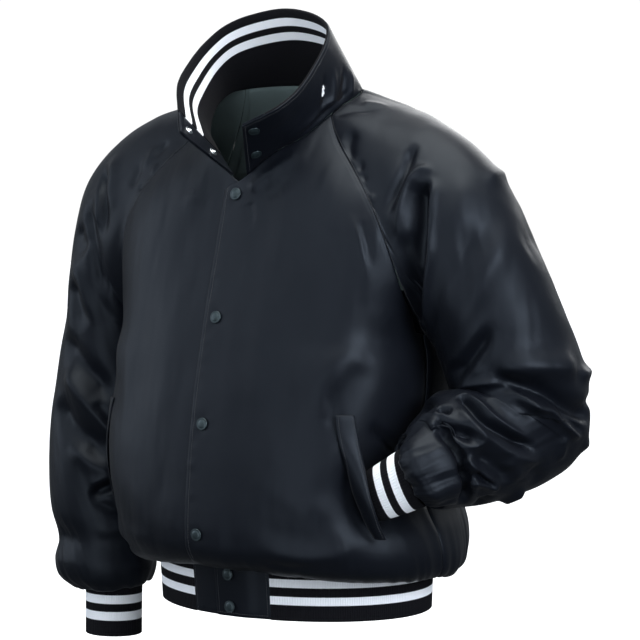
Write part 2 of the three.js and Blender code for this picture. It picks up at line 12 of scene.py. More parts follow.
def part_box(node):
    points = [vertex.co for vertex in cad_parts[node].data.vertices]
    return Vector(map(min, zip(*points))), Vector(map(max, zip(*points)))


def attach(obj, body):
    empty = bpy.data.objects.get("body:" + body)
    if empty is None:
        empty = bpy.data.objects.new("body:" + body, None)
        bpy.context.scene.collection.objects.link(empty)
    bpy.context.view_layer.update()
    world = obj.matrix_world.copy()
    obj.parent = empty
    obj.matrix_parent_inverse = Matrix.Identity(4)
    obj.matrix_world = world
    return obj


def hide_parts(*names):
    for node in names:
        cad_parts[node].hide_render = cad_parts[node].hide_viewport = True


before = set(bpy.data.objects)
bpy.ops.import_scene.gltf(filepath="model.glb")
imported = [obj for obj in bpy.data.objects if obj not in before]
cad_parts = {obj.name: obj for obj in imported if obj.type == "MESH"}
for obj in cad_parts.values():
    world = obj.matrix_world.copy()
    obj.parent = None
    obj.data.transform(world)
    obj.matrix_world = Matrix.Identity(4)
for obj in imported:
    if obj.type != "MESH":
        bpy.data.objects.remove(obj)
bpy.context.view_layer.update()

bl_info = {
    "name": "Satin Raglan Jacket",
    "version": (1, 0, 0),
    "blender": (4, 5, 0),
    "location": "3D View > Sidebar > Jacket",
    "description": "Builds the cloth, trims, snaps and stage of a worn satin jacket",
    "category": "Add Mesh",
}

MM = 0.001

# ---- Sizes of the cut, in millimetres --------------------------------------------------------

LAP = 18
LAP_LIFT = 1.9
NECK_LIFT = 2
NECK_DROP = 9
HEM_TOP = -552
HEM_BOTTOM = -613
HEM_TAB = 57
HEM_MIDDLE_X = -3
BODY_TOP = -300
COLLAR_TAB = 15
COLLAR_END = 7
COLLAR_SNAP_AT = 14
FRONT_SNAPS = [-104, -249, -374, -505]
HEM_SNAPS = [-561, -601]
COLLAR_SNAPS = {"upper": 0.8, "lower": 0.3}
UPPER_ROWS = 8
ARMHOLE_POINTS = 17
ROW_STEP = 10  # grid rows to a row of a panel's table
NECK_FADE = 4  # table rows over which a panel bends to meet the neck seam
BACK_NECK = 62  # degrees of the neck on each side of the centre back that the back meets
SHOULDER = (84, 101)  # degrees of the neck that a sleeve meets
LINING_ROWS = 31
LINING_INSET = 9
LINING_DEPTH = 1.8
BACK_LINED_ABOVE = -230  # heights above which inner faces have the lining's finish
SLEEVE_LINED_ABOVE = -95

NECK = [  # degrees round the neck, x, y, z
    (0, 0, -100.5, -91),
    (7, 12, -99.5, -83),
    (18, 30, -94, -67),
    (30, 48, -86, -52),
    (50, 74, -65, -34),
    (70, 91, -31, -6),
    (92, 98, 7, 13),
    (118, 88, 32, 20),
    (147, 52, 47, 24),
    (180, 0, 51, 25),
]
TOP_LEFT = [
    (0, 30, -159, -28),
    (7, 47, -158, -22),
    (20, 74, -155, -11),
    (34, 90, -142, 0),
    (50, 95, -112, 18),
    (70, 96, -80, 46),
    (92, 91, -47, 76),
    (118, 77, -24, 97),
    (147, 47, -10, 111),
    (180, 0, -5, 118),
]
TOP_RIGHT = [
    (0, 34, -168, -38),
    (7, 47, -159, -31),
    (22, 70, -131, -8),
    (45, 88, -108, 26),
    (68, 95, -73, 55),
    (92, 91, -45, 79),
    (118, 77, -24, 98),
    (147, 47, -10, 111),
    (180, 0, -5, 118),
]
FRONT_RAGLAN = [  # x, y, z, height of the same row on the centre line
    (89, -36, -10, -91),
    (109, -50, -40, -106),
    (140, -64, -72, -126),
    (169, -75, -106, -149),
    (190, -77, -145, -176),
    (203, -68, -190, -207),
    (205, -42, -234, -240),
    (200, -1, -270, -270),
]
BACK_RAGLAN = [
    (88, 32, 20, 25),
    (112, 58, -14, -10),
    (142, 82, -52, -50),
    (168, 96, -95, -95),
    (188, 98, -140, -140),
    (200, 86, -188, -188),
    (204, 48, -236, -232),
    (200, -1, -270, -270),
]
CENTRE_FRONT = [(-77, -98), (-104, -103), (-180, -126), (-250, -146), (BODY_TOP, -158)]  # z, y
CENTRE_BACK = [(25, 51), (0, 76), (-50, 112), (-95, 134), (-140, 147), (-200, 153), (BODY_TOP, 156)]
BODY = [  # z, half width left, half width right, front y, back y, squareness, sag
    (BODY_TOP, 205, 205, -158, 156, 3.1, 0),
    (-340, 205, 205, -167, 160, 3.0, 0),
    (-380, 201, 205, -174, 164, 3.1, 0),
    (-415, 198, 204, -179, 168, 3.2, 0),
    (-450, 198, 203, -182.5, 173, 3.1, 0),
    (-480, 208, 202, -185, 178, 2.8, 0),
    (-505, 221, 202, -185.5, 183, 2.5, 3),
    (-525, 226, 201, -182, 185, 2.3, 9),
    (-540, 221, 198, -170, 182, 2.2, 15),
    (-549, 205, 190, -148, 174, 2.1, 15),
    (HEM_TOP, 182, 186, -125, 164, 2.0, 0),
]
HEM = [  # z, half width, front y, back y
    (HEM_TOP, 182.5, -123, 161),
    ((HEM_TOP + HEM_BOTTOM) / 2, 181, -120, 160),
    (HEM_BOTTOM, 180, -117, 158),
]
CAP = [  # outer x, y, z, inner x, y, z, half the width across
    (98, 7, 13, 200, -1, -270, 88),
    (150, 11, 0, 206, 2, -273, 85),
    (206, 15, -17, 210, 5, -278, 84),
    (253, 19, -43, 213, 9, -285, 83),
]
RIGHT_ARM = CAP + [
    (290, 20, -80, 214, 12, -293, 84),
    (315, 22, -135, 215, 13, -303, 82),
    (331, 22, -200, 215, 12, -325, 80),
    (341, 19, -262, 215, 10, -355, 77),
    (352, 14, -330, 216, 6, -395, 75),
    (360, 8, -400, 218, 1, -440, 75),
    (361, 2, -465, 220, -3, -490, 74),
    (356, -2, -520, 221, -5, -528, 70),
    (346, -5, -556, 222, -8, -560, 60),
    (350, -6, -585, 217, -9, -588, 62),
    (342, -6, -607, 222, -9, -609, 54),
    (308, -6, -613, 232, -9, -614, 38),
]
LEFT_ARM = CAP + [
    (288, 27, -80, 215, 13, -292, 84),
    (318, 35, -138, 217, 18, -305, 83),
    (344, 48, -203, 219, 23, -322, 82),
    (364, 65, -268, 224, 27, -340, 82),
    (374, 85, -326, 228, 18, -345, 81),
    (366, 101, -383, 230, -2, -342, 78),
    (345, 92, -425, 236, -24, -336, 75),
    (324, 60, -448, 242, -42, -336, 71),
    (309, 24, -458, 243, -58, -342, 66),
    (297, -16, -463, 236, -76, -352, 60),
    (286, -50, -463, 234, -85, -364, 52),
    (280, -78, -461.5, 237, -95, -377.5, 40),
    (262, -84.5, -460, 234, -94.5, -390.5, 26),
]
RIGHT_CUFF = [
    (307, -6, -613.7, 233, -9, -614.7, 35),
    (307, -7, -645, 234, -8, -645, 35),
    (307, -8, -678, 234, -8, -678, 35),
]
LEFT_CUFF = [
    (259, -88, -461, 232, -97, -393.5, 24),
    (230, -95.5, -473, 207, -104, -411, 19),
    (200, -102.5, -483, 182.5, -109, -427.5, 13),
]
ARMHOLE_PULL = [(0, 1, 1), (1, 0.55, 0.92), (2, 0.25, 0.5), (3, 0.08, 0.18), (4, 0, 0)]
DENT = {"x": 189, "y": -100, "z": -456, "depth": 17, "across": 36, "high": 46}
WELT_EDGE = [  # z, share of the half width, width
    (-357, 0.878, 22),
    (-386, 0.908, 24),
    (-415, 0.935, 24),
    (-458, 0.948, 22),
    (-503, 0.93, 16),
]
WELT_LIFT = {"z": -456, "by": 31, "high": 48, "x": 0.6, "y": -0.8}
WELT_PROUD = 3
COLLAR_INWARD = 2.4  # from the collar's outside to its rib and tabs
COLLAR_GAP = 0.4  # degrees between its rib and its tabs
HEM_GAP = 0.05
COLLAR_LENGTH = 560
HEM_LENGTH = 960
HEM_TAB_LIFT = 2.0
PANEL_STEPS = UPPER_ROWS + len(BODY) - 1
PANEL_ROWS = ROW_STEP * PANEL_STEPS + 1

# Grid rows and columns of the cloths.
FRONT_FINENESS = (235, 107)
BACK_FINENESS = (PANEL_ROWS, 90)
SLEEVE_FINENESS = {"sleeve_left": (307, 248), "sleeve_right": (265, 208)}
CUFF_ROWS = 22
COLLAR_FINENESS = {"outer": (260, 44), "tab": (24, 44)}  # columns, rows
COLLAR_RIB_ROWS = 24
HEM_TAB_FINENESS = (40, 34)
HEM_RIB_ROWS = 20
WELT_FINENESS = (90, 18)
WALE_COLUMNS = 4
SNAP_SIDES = 48
NOISE_CELLS = 97
FOLD_REACH = 3.2  # in widths of the fold
PATH_POINTS = 18
LOWEST_REACH = 2

FRONT_NOISE = [  # height, width and length of a feature, seed, and where it sets in beside the centre
    (1.5, 75, 110, 11, 20, 60),
    (0.5, 17, 40, 51, 14, 40),
    (0.2, 8, 45, 53, 10, 30),
]


# ---- Curves, sections and grids --------------------------------------------------------------


def smooth(low, high, x):
    """0 below low and 1 above high, with a smooth rise between."""
    t = np.clip((x - low) / (high - low), 0, 1)
    return t * t * (3 - 2 * t)


def unit(v):
    """Vectors brought to length one."""
    return v / np.maximum(np.linalg.norm(v, axis=-1, keepdims=True), 1e-9)


def read_table(table, key):
    """Smooth curves through a table's rows, read at one key or an array of them."""
    rows = np.asarray(table, float)
    if rows[0, 0] > rows[-1, 0]:
        rows = rows[::-1]
    keys, values = rows[:, 0], rows[:, 1:]
    key = np.clip(np.asarray(key, float), keys[0], keys[-1])
    i = np.clip(np.searchsorted(keys, key, side="right") - 1, 0, len(keys) - 2)
    before, after = np.maximum(i - 1, 0), np.minimum(i + 2, len(keys) - 1)
    span = keys[i + 1] - keys[i]
    t = ((key - keys[i]) / span)[..., None]
    start, end = values[i], values[i + 1]
    start_slope = (span / (keys[i + 1] - keys[before]))[..., None] * (end - values[before])
    end_slope = (span / (keys[after] - keys[i]))[..., None] * (values[after] - start)
    t2, t3 = t * t, t * t * t
    return (start * (2 * t3 - 3 * t2 + 1) + start_slope * (t3 - 2 * t2 + t)
            + end * (3 * t2 - 2 * t3) + end_slope * (t3 - t2))


def round_the_back(table):
    """The table with its row before the centre back mirrored past it, so that its curve stays level."""
    degrees, x, y, z = table[-2]
    return [*table, (360 - degrees, -x, y, z)]


def collar_point(degrees, rise):
    """The neck seam at rise 0 and the collar's free edge at rise 1; negative degrees are the right."""
    degrees, rise = np.broadcast_arrays(np.asarray(degrees, float), np.asarray(rise, float))
    side = np.where(degrees < 0, -1.0, 1.0)
    seam = read_table(round_the_back(NECK), np.abs(degrees))
    top = np.where(side[..., None] > 0, read_table(round_the_back(TOP_LEFT), np.abs(degrees)),
                   read_table(round_the_back(TOP_RIGHT), np.abs(degrees)))
    point = seam + (top - seam) * rise[..., None]
    point[..., 0] *= side
    return point


def section(centre_y, line_y, squareness, edge_x, edge_y):
    """A rounded section through the centre line and the seam: centre, depth, squareness, half width."""
    depth = line_y - centre_y
    share = min(max((edge_y - centre_y) / depth, 0), 1)
    half_width = edge_x / (1 - share**squareness) ** (1 / squareness)
    return centre_y, depth, squareness, half_width


def section_y(centre_y, depth, squareness, half_width, x):
    """The y of a section at an x."""
    inside = np.clip(np.abs(x) / half_width, 0, 1)
    return centre_y + depth * (1 - inside**squareness) ** (1 / squareness)


def panel_rows(side, front):
    """Section, centre height, seam height and seam x of each row of half a front or back."""
    raglan, profile = (FRONT_RAGLAN, CENTRE_FRONT) if front else (BACK_RAGLAN, CENTRE_BACK)
    rows = []
    for i, (x, y, z, centre_z) in enumerate(raglan):
        share = i / (UPPER_ROWS - 1)
        line_y = read_table(profile, centre_z)[0]
        rows.append([*section(3 - 4 * share, line_y, 2 + share, x, y), centre_z, z, x])
    for z, left, right, front_y, back_y, squareness, sag in BODY:
        seam_x = left if side > 0 else right
        centre_y = (front_y + back_y) / 2
        line_y = front_y if front else back_y
        shape = section(centre_y, line_y, squareness, seam_x, centre_y)
        rows.append([*shape, z if front else z - sag, z - sag, seam_x])
    return np.array(rows)


def half_panel(side, front, row_count, column_count, lap_columns=0):
    """Half a panel on the +X side, its row numbers and the x of each point."""
    coarse = panel_rows(side, front)
    r = np.linspace(0, len(coarse) - 1, row_count)
    rows = read_table(np.c_[np.arange(len(coarse)), coarse], r)[:, None, :]
    centre_y, depth, squareness, half_width, centre_z, seam_z, seam_x = np.moveaxis(rows, -1, 0)
    start = LAP if lap_columns else 0
    low = np.arcsin(np.clip(start / half_width, 0, 1) ** (squareness / 2))
    high = np.arcsin(np.clip(seam_x / half_width, 0, 1) ** (squareness / 2))
    x = half_width * np.sin(low + (high - low) * np.linspace(0, 1, column_count)) ** (2 / squareness)
    if lap_columns:
        lap = np.broadcast_to(np.linspace(-LAP, LAP, lap_columns, endpoint=False), (row_count, lap_columns))
        x = np.concatenate([lap, x], axis=1)
    r = r[:, None]
    share = np.maximum(x, 0) / seam_x
    fade = np.clip(1 - r / NECK_FADE, 0, 1) ** 2
    z = centre_z + (seam_z - centre_z) * share**1.4 - np.where(x < 0, NECK_DROP * (x / LAP) ** 2 * fade, 0)
    y = section_y(centre_y, depth, squareness, half_width, x)
    if front:
        on_profile = read_table(CENTRE_FRONT, z)[..., 0] - (centre_y + depth)
        y = y + np.where(centre_z >= BODY_TOP, on_profile, 0) * (1 - smooth(0.15, 0.5, share))
    points = np.stack([x, y, z], axis=-1)
    if front:
        degrees = np.arange(0, 67.5, 0.5)
        at = np.interp(x[0], collar_point(degrees, 0)[:, 0], degrees)
        moves = np.where((x[0] >= 0)[:, None], collar_point(at, 0) - points[0], 0)
    else:
        moves = collar_point(180 - BACK_NECK * x[0] / x[0][-1], 0) - points[0]
    return points + moves * fade[..., None], r, x


def front_grid(side, row_count=PANEL_ROWS, column_count=84):
    """A front: the left one lies over the right at the lap and is dented by the hand's pocket."""
    grid, r, x = half_panel(side, True, row_count, column_count, lap_columns=14)
    normal = -grid_normals(grid)
    under = np.clip(1 - (PANEL_STEPS - r) / 3, 0, 1)
    by_neck = np.clip(1 - np.abs(r - 1) / 3, 0, 1)
    lift = LAP_LIFT * (1 - under) + NECK_LIFT * by_neck if side > 0 else -LAP_LIFT * under
    grid = grid + normal * ((1 - smooth(LAP + 4, LAP + 40, x)) * lift)[..., None]
    if side > 0:
        near = np.hypot(grid[..., 0] - DENT["x"], grid[..., 1] - DENT["y"]) / DENT["across"]
        push = DENT["depth"] * np.exp(-near**2 - ((grid[..., 2] - DENT["z"]) / DENT["high"]) ** 2)
        grid = grid + push[..., None] * np.array([-0.8, 0.6, 0])
    return grid * [side, 1, 1]


def back_grid():
    """The whole back, its halves joined at the centre."""
    left, right = (half_panel(side, False, *BACK_FINENESS)[0] for side in (1, -1))
    return np.concatenate([(right * [-1, 1, 1])[:, :0:-1], left], axis=1)


def grid_normals(points, ring=False):
    """The normal at every point of a grid."""
    if ring:
        across = np.roll(points, -1, axis=1) - np.roll(points, 1, axis=1)
    else:
        across = np.gradient(points, axis=1)
    return unit(np.cross(across, np.gradient(points, axis=0)))


def rings(table, k, turns):
    """Rings of a sleeve or cuff at row numbers k; turn 0 is the underarm and 90 the front."""
    rows = read_table(np.c_[np.arange(len(table)), np.array(table, float)], k)
    outer, inner, half_width = rows[:, 0:3], rows[:, 3:6], rows[:, 6:7]
    middle, across = (outer + inner) / 2, outer - inner
    along = np.gradient(middle, k, axis=0)
    front = unit(np.cross(along, across))
    angle = np.radians(turns)
    return (middle[:, None] - across[:, None] * np.cos(angle)[None, :, None] / 2
            + front[:, None] * (half_width[:, None] * np.sin(angle)[None, :, None]))


def armhole(side, turns):
    """The seam loop of a sleeve, in the same turns as its rings, on the +X side."""
    j = np.asarray(turns) / 360 * ARMHOLE_POINTS
    seam_rows = np.arange(UPPER_ROWS) * ROW_STEP
    front = front_grid(side)[seam_rows, -1] * [side, 1, 1]
    back = half_panel(side, False, *BACK_FINENESS)[0][seam_rows, -1]
    loop = np.array([*front[::-1], *collar_point(np.array(SHOULDER), 0), *back])
    return read_table(np.c_[np.arange(len(loop)), loop], j)


def sleeve_grid(side, ring_count, column_count):
    """A sleeve as a tube of rings, drawn to its armhole over the first few."""
    table = LEFT_ARM if side > 0 else RIGHT_ARM
    turns = np.linspace(0, 360, column_count, endpoint=False)
    k = np.linspace(0, len(table) - 1, ring_count)
    tube = rings(table, k, turns)
    pull = read_table(ARMHOLE_PULL, k)
    behind = np.clip(-1.4 * np.sin(np.radians(turns)), 0, 1)
    share = pull[:, :1] + (pull[:, 1:] - pull[:, :1]) * behind
    grid = tube + (armhole(side, turns) - tube[0]) * share[..., None]
    return grid * [side, 1, 1]


def hem_grid(start, end, columns, rows, lift=0):
    """The hem from one angle round to another, in degrees from the centre front to the left."""
    z = np.linspace(HEM_TOP, HEM_BOTTOM, rows)
    half_width, front, back = np.moveaxis(read_table(HEM, z), -1, 0)[..., None]
    degrees = np.linspace(start, end, columns)
    turn = np.radians(degrees)
    out = lift * (1 - smooth(8, 14, degrees))
    x = HEM_MIDDLE_X + (half_width + out) * np.sin(turn)
    y = (front + back) / 2 - ((back - front) / 2 + out) * np.cos(turn)
    return np.stack([x, y, np.broadcast_to(z[:, None], x.shape)], axis=-1)


def collar_grid(start, end, columns, rows, inward=0):
    """The collar's face from its free edge down to the neck seam, moved inward."""
    degrees = np.linspace(start, end, columns)
    degrees = np.where(degrees > 180, degrees - 360, degrees)
    rise = np.linspace(1, 0.006, rows)[:, None]
    grid = collar_point(degrees[None, :], rise)
    return grid + grid_normals(grid) * inward


def welt_grid(side):
    """A pocket welt, its width measured along the front's section from its outer edge."""
    rows, columns = WELT_FINENESS
    z = np.linspace(WELT_EDGE[0][0], WELT_EDGE[-1][0], rows)[:, None]
    left, right, front, back, squareness, _ = np.moveaxis(read_table(BODY, z[:, 0]), -1, 0)[..., None]
    half = left if side > 0 else right
    centre = (front + back) / 2
    share_out, width = np.moveaxis(read_table(WELT_EDGE, z[:, 0]), -1, 0)[..., None]
    edge = share_out * half

    def face(x):
        return section_y(centre, front - centre, squareness, half, x)

    xs = edge - np.linspace(0, 1, 60)[None, :] * 40
    ys = face(xs)
    length = np.cumsum(np.hypot(np.diff(xs, prepend=xs[:, :1]), np.diff(ys, prepend=ys[:, :1])), axis=1)
    share = np.linspace(1, 0, columns)
    x = np.stack([np.interp(share * width[i], length[i], xs[i]) for i in range(rows)])
    slope = face(x + 0.5) - face(x - 0.5)
    outward = unit(np.stack([slope, np.full_like(slope, -1), np.zeros_like(slope)], axis=-1))
    grid = np.stack([x, face(x), np.broadcast_to(z, x.shape)], axis=-1) + outward * WELT_PROUD
    if side > 0:
        raised = WELT_LIFT["by"] * np.exp(-((z - WELT_LIFT["z"]) / WELT_LIFT["high"]) ** 2) * (1 - share**2)
        grid = grid + raised[..., None] * np.array([WELT_LIFT["x"], WELT_LIFT["y"], 0])
    return grid * [side, 1, 1]


# ---- Folds, gathers and seams pressed into a grid --------------------------------------------


def noise(u, v, seed, around=NOISE_CELLS):
    """A smooth random field from -1 to 1, its features one unit across, repeating every `around` in u."""
    values = np.random.default_rng(seed).uniform(-1, 1, (NOISE_CELLS, NOISE_CELLS))
    u, v = np.broadcast_arrays(u, v)
    i, j = np.floor(u).astype(int), np.floor(v).astype(int)
    f, g = u - i, v - j
    f, g = f * f * f * (f * (6 * f - 15) + 10), g * g * g * (g * (6 * g - 15) + 10)
    near_j, far_j = j % NOISE_CELLS, (j + 1) % NOISE_CELLS
    a, b = values[i % around, near_j], values[(i + 1) % around, near_j]
    c, d = values[i % around, far_j], values[(i + 1) % around, far_j]
    return (a * (1 - f) + b * f) * (1 - g) + (c * (1 - f) + d * f) * g


def arc_lengths(points, axis):
    """Distance along each row (axis 1) or column (axis 0) of a grid."""
    steps = np.linalg.norm(np.diff(points, axis=axis), axis=-1)
    pad = [(0, 0), (0, 0)]
    pad[axis] = (1, 0)
    return np.pad(np.cumsum(steps, axis=axis), pad)


def lowest_near(values, ring):
    """The lowest value within LOWEST_REACH cells of each one."""
    reach = LOWEST_REACH
    rows, columns = values.shape
    wide = np.pad(values, ((reach, reach), (0, 0)), mode="edge")
    wide = np.pad(wide, ((0, 0), (reach, reach)), mode="wrap" if ring else "edge")
    low = np.min([wide[k:k + rows] for k in range(2 * reach + 1)], axis=0)
    return np.min([low[:, k:k + columns] for k in range(2 * reach + 1)], axis=0)


class Cloth:
    """A grid of points, rows down and columns across, with heights to be added along its normals."""

    def __init__(self, points, sign, ring=False, last=0):
        self.points = points
        self.ring = ring
        self.last = last  # the last ring's number in the table of a sleeve
        self.sign = sign
        self.normals = grid_normals(points, ring) * sign
        self.height = np.zeros(points.shape[:2])
        self.ribs = 0

    def press(self, line, height, width, rise, fall, crest=2.0, lean=0.0):
        """A ridge, or a trough of negative height, along a line of points on the cloth."""
        reach = width * FOLD_REACH
        low, high = line.min(axis=0) - reach, line.max(axis=0) + reach
        near = np.all((self.points > low) & (self.points < high), axis=-1)
        p, n = self.points[near], self.normals[near]
        best, along = np.full(len(p), np.inf), np.zeros(len(p))
        hand = np.zeros(len(p))
        for k, (a, b) in enumerate(zip(line[:-1], line[1:])):
            step = b - a
            t = np.clip((p - a) @ step / (step @ step), 0, 1)
            away = p - (a + t[:, None] * step)
            d = np.linalg.norm(away, axis=1)
            closer = d < best
            best = np.where(closer, d, best)
            along = np.where(closer, (k + t) / (len(line) - 1), along)
            side = np.einsum("ij,ij->i", np.cross(unit(step), away), n) / np.maximum(d, 1e-6)
            hand = np.where(closer, side, hand)
        spread = width * (1 + lean * hand)
        ends = smooth(0, rise, along) * (1 - smooth(1 - fall, 1, along))
        beyond = np.where((along <= 0) | (along >= 1), 0, 1)
        self.height[near] += height * np.exp(-((best / spread) ** crest)) * ends * beyond

    def shaped(self):
        """The outer face."""
        return self.points + self.normals * (self.height + self.ribs)[..., None]

    def lining_side(self, wall):
        """The inner face without its ribs, low enough to stay a wall's thickness inside every crease."""
        low = lowest_near(self.height, self.ring)
        low[0], low[-1] = self.height[0], self.height[-1]
        if not self.ring:
            low[:, 0], low[:, -1] = self.height[:, 0], self.height[:, -1]
        return self.points + self.normals * (low - wall)[..., None]


def dense(path):
    """A smooth line through a short path of coordinate pairs."""
    path = np.asarray(path, float)
    if len(path) == 2:
        path = np.insert(path, 1, path.mean(axis=0), axis=0)
    return read_table(np.c_[np.arange(len(path)), path], np.linspace(0, len(path) - 1, PATH_POINTS))


def on_panel(cloth, path):
    """Points of a front or back nearest to a path of x and z."""
    flat = cloth.points[..., [0, 2]].reshape(-1, 2)
    spots = [np.argmin(((flat - p) ** 2).sum(axis=1)) for p in dense(path)]
    return cloth.points.reshape(-1, 3)[spots]


def on_sleeve(cloth, path):
    """Points of a sleeve at a path of row numbers from the shoulder and turns in degrees."""
    rows, columns = cloth.points.shape[:2]
    line = dense(path)
    i = np.clip(line[:, 0] / cloth.last * (rows - 1), 0, rows - 1)
    j = (line[:, 1] / 360 * columns) % columns
    i0, j0 = np.minimum(i.astype(int), rows - 2), j.astype(int)
    f, g = (i - i0)[:, None], (j - j0)[:, None]

    def at(a, b):
        return cloth.points[a, b % columns]

    return ((at(i0, j0) * (1 - f) + at(i0 + 1, j0) * f) * (1 - g)
            + (at(i0, j0 + 1) * (1 - f) + at(i0 + 1, j0 + 1) * f) * g)


def on_collar(cloth, path):
    """Points of the collar's face at a path of degrees round the neck and rise."""
    degrees, rise = dense(path).T
    return collar_point(np.where(degrees > 180, degrees - 360, degrees), rise)


def inset_line(grid, values, distance, edge):
    """The values of a grid along a line this far in from one of its edges."""
    if edge in ("top", "bottom"):
        grid, values = grid.transpose(1, 0, 2), values.transpose(1, 0, 2)
    if edge in ("end", "bottom"):
        grid, values = grid[:, ::-1], values[:, ::-1]
    lengths = arc_lengths(grid, 1)
    return np.array([[np.interp(distance, length, row[:, axis]) for axis in range(3)]
                     for row, length in zip(values, lengths)])


def share_round(cloth):
    """How far round its tube, or across its width, each column of a cloth lies, from 0 to 1."""
    columns = cloth.points.shape[1]
    return (np.arange(columns) / (columns if cloth.ring else columns - 1))[None, :]


def field(cloth, across, down, seed):
    """Noise over a cloth with this many features across it, and `down` given in features."""
    cells = max(3, round(across))
    repeat = cells if cloth.ring else NOISE_CELLS
    return noise(share_round(cloth) * cells, down, seed, min(repeat, NOISE_CELLS))


def gather(cloth, edge, reach, height, pitch, seed, part=1.0):
    """Small uneven pleats that run in from a seam, fullest at it and fading over `reach`."""
    row = cloth.points[0 if edge == "top" else -1]
    pleats = np.linalg.norm(np.diff(row, axis=0), axis=1).sum() / pitch
    away = edge_away(cloth.points, edge)
    wave = (field(cloth, pleats, away / (1.8 * reach), seed)
            + 0.5 * field(cloth, 2 * pleats, away / reach, seed + 1))
    uneven = 0.7 + 0.6 * field(cloth, pleats / 4, 0 * away, seed + 2)
    local = reach * (1 + 0.5 * field(cloth, pleats / 2, 0 * away, seed + 3))
    fade = np.exp(-((away / local) ** 1.6)) * smooth(-1.0, 3.0, away)
    cloth.height += height * wave * uneven * fade * part


def edge_away(points, edge):
    """Distance of every grid point from one edge of the grid."""
    if edge in ("start", "end"):
        across = arc_lengths(points, 1)
        return across if edge == "start" else across[:, -1:] - across
    down = arc_lengths(points, 0)
    return down if edge == "top" else down[-1:] - down


def seam(cloth, edge, seed, stitch_at=4.0, drop=0.9, pucker=0.35):
    """A turned seam edge, a shallow channel under its topstitching and small puckers beside it."""
    away = edge_away(cloth.points, edge)
    along = arc_lengths(cloth.points, 0 if edge in ("start", "end") else 1)
    rolled = -drop * np.exp(-((away / 1.8) ** 2)) - 0.35 * drop * np.exp(-(((away - stitch_at) / 1.1) ** 2))
    ripple = pucker * noise(along / 9, away / 14, seed) * np.exp(-(((away - stitch_at) / 7) ** 2))
    cloth.height += rolled + ripple


# ---- Meshes ----------------------------------------------------------------------------------


def quads_of(rows, columns, ring):
    """The faces of a grid, and the row and column numbers of their corners."""
    i, j = np.meshgrid(np.arange(rows - 1), np.arange(columns if ring else columns - 1), indexing="ij")
    i, j = i.ravel(), j.ravel()
    corners = [(i, j), (i, j + 1), (i + 1, j + 1), (i + 1, j)]
    return np.stack([a * columns + b % columns for a, b in corners], axis=1), corners


def make_object(name, mesh, finish, nodes=()):
    """A piece of the root body, standing for its nodes."""
    mesh.materials.append(bpy.data.materials[finish])
    mesh.shade_smooth()
    piece = bpy.data.objects.new(name, mesh)
    bpy.context.scene.collection.objects.link(piece)
    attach(piece, "root")
    if nodes:
        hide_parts(*nodes)
    return piece


def every_other(count, ring=False):
    """Every second number, with the last one of an open run."""
    kept = np.arange(0, count, 2)
    return kept if ring or kept[-1] == count - 1 else np.append(kept, count - 1)


def edge_loops(rows, columns, ring):
    """The edges of a grid as closed runs of row and column numbers."""
    top, bottom = [(0, j) for j in range(columns)], [(rows - 1, j) for j in range(columns)]
    if ring:
        return [np.array(top), np.array(bottom[::-1])]
    right = [(i, columns - 1) for i in range(1, rows)]
    left = [(i, 0) for i in range(rows - 2, 0, -1)]
    return [np.array(top + right + bottom[-2::-1] + left)]


def cloth_mesh(name, cloth, wall, free_edge, lined_above):
    """A closed wall of cloth with rounded edges, mapped in metres from its free edge.

    Its inner faces have every second point, and those above a height are in slot 1.
    """
    outer, inner = cloth.shaped(), cloth.lining_side(wall)
    rows, columns = outer.shape[:2]
    ring = cloth.ring
    across = arc_lengths(outer, 1)[rows // 2]
    across = np.append(across, across[-1] * (1 + ring / columns))
    down = edge_away(outer, free_edge)
    down = np.concatenate([down, down[:, :1]], axis=1)

    def place(i, j):
        return np.stack([across[j], down[i, j]], axis=-1)

    quads, corners = quads_of(rows, columns, ring)
    faces = quads.tolist()
    maps = list(np.stack([place(*corner) for corner in corners], axis=1))
    kept_i, kept_j = every_other(rows), every_other(columns, ring)
    after_j = np.append(kept_j, columns)
    count = rows * columns
    quads, corners = quads_of(len(kept_i), len(kept_j), ring)
    outside = len(faces)
    faces += (quads[:, ::-1] + count).tolist()
    maps += list(np.stack([place(kept_i[i], after_j[j]) for i, j in corners], axis=1)[:, ::-1])
    inside = len(faces) - outside
    verts = [outer.reshape(-1, 3), inner[np.ix_(kept_i, kept_j)].reshape(-1, 3)]
    for loop in edge_loops(rows, columns, ring):
        i, j = loop.T
        beside = outer[np.clip(i, 1, rows - 2), j if ring else np.clip(j, 1, columns - 2)]
        rim = sum(map(len, verts)) + np.arange(len(loop))
        verts.append((outer[i, j] + inner[i, j]) / 2 + unit(outer[i, j] - beside) * wall * 0.4)
        edge, n = i * columns + j, len(loop)
        faces += np.stack([np.roll(edge, -1), edge, rim, np.roll(rim, -1)], axis=1).tolist()
        here = place(i, j)
        after = np.roll(here, -1, axis=0)
        maps += list(np.stack([after, here, here, after], axis=1))
        stops = np.flatnonzero(np.isin(i, kept_i) & np.isin(j, kept_j))
        lining = count + np.searchsorted(kept_i, i) * len(kept_j) + np.searchsorted(kept_j, j)
        for first, last in zip(stops, np.append(stops[1:], stops[0] + n)):
            run = np.arange(last, first - 1, -1) % n
            faces.append([*rim[run].tolist(), int(lining[first]), int(lining[last % n])])
            maps.append(here[[*run, first, last % n]])
    if cloth.sign < 0:
        faces, maps = [face[::-1] for face in faces], [spots[::-1] for spots in maps]
    mesh = bpy.data.meshes.new(name)
    mesh.from_pydata((np.concatenate(verts) * MM).tolist(), [], faces)
    layer = mesh.uv_layers.new(name="cloth")
    layer.data.foreach_set("uv", (np.concatenate(maps) * MM).ravel())
    slots = np.zeros(len(faces), int)
    i, j = corners[0]
    slots[outside:outside + inside] = inner[kept_i[i], kept_j[j], 2] > lined_above
    mesh.polygons.foreach_set("material_index", slots)
    return mesh


CLOTHS = {}  # the made cloths by name, for their topstitching


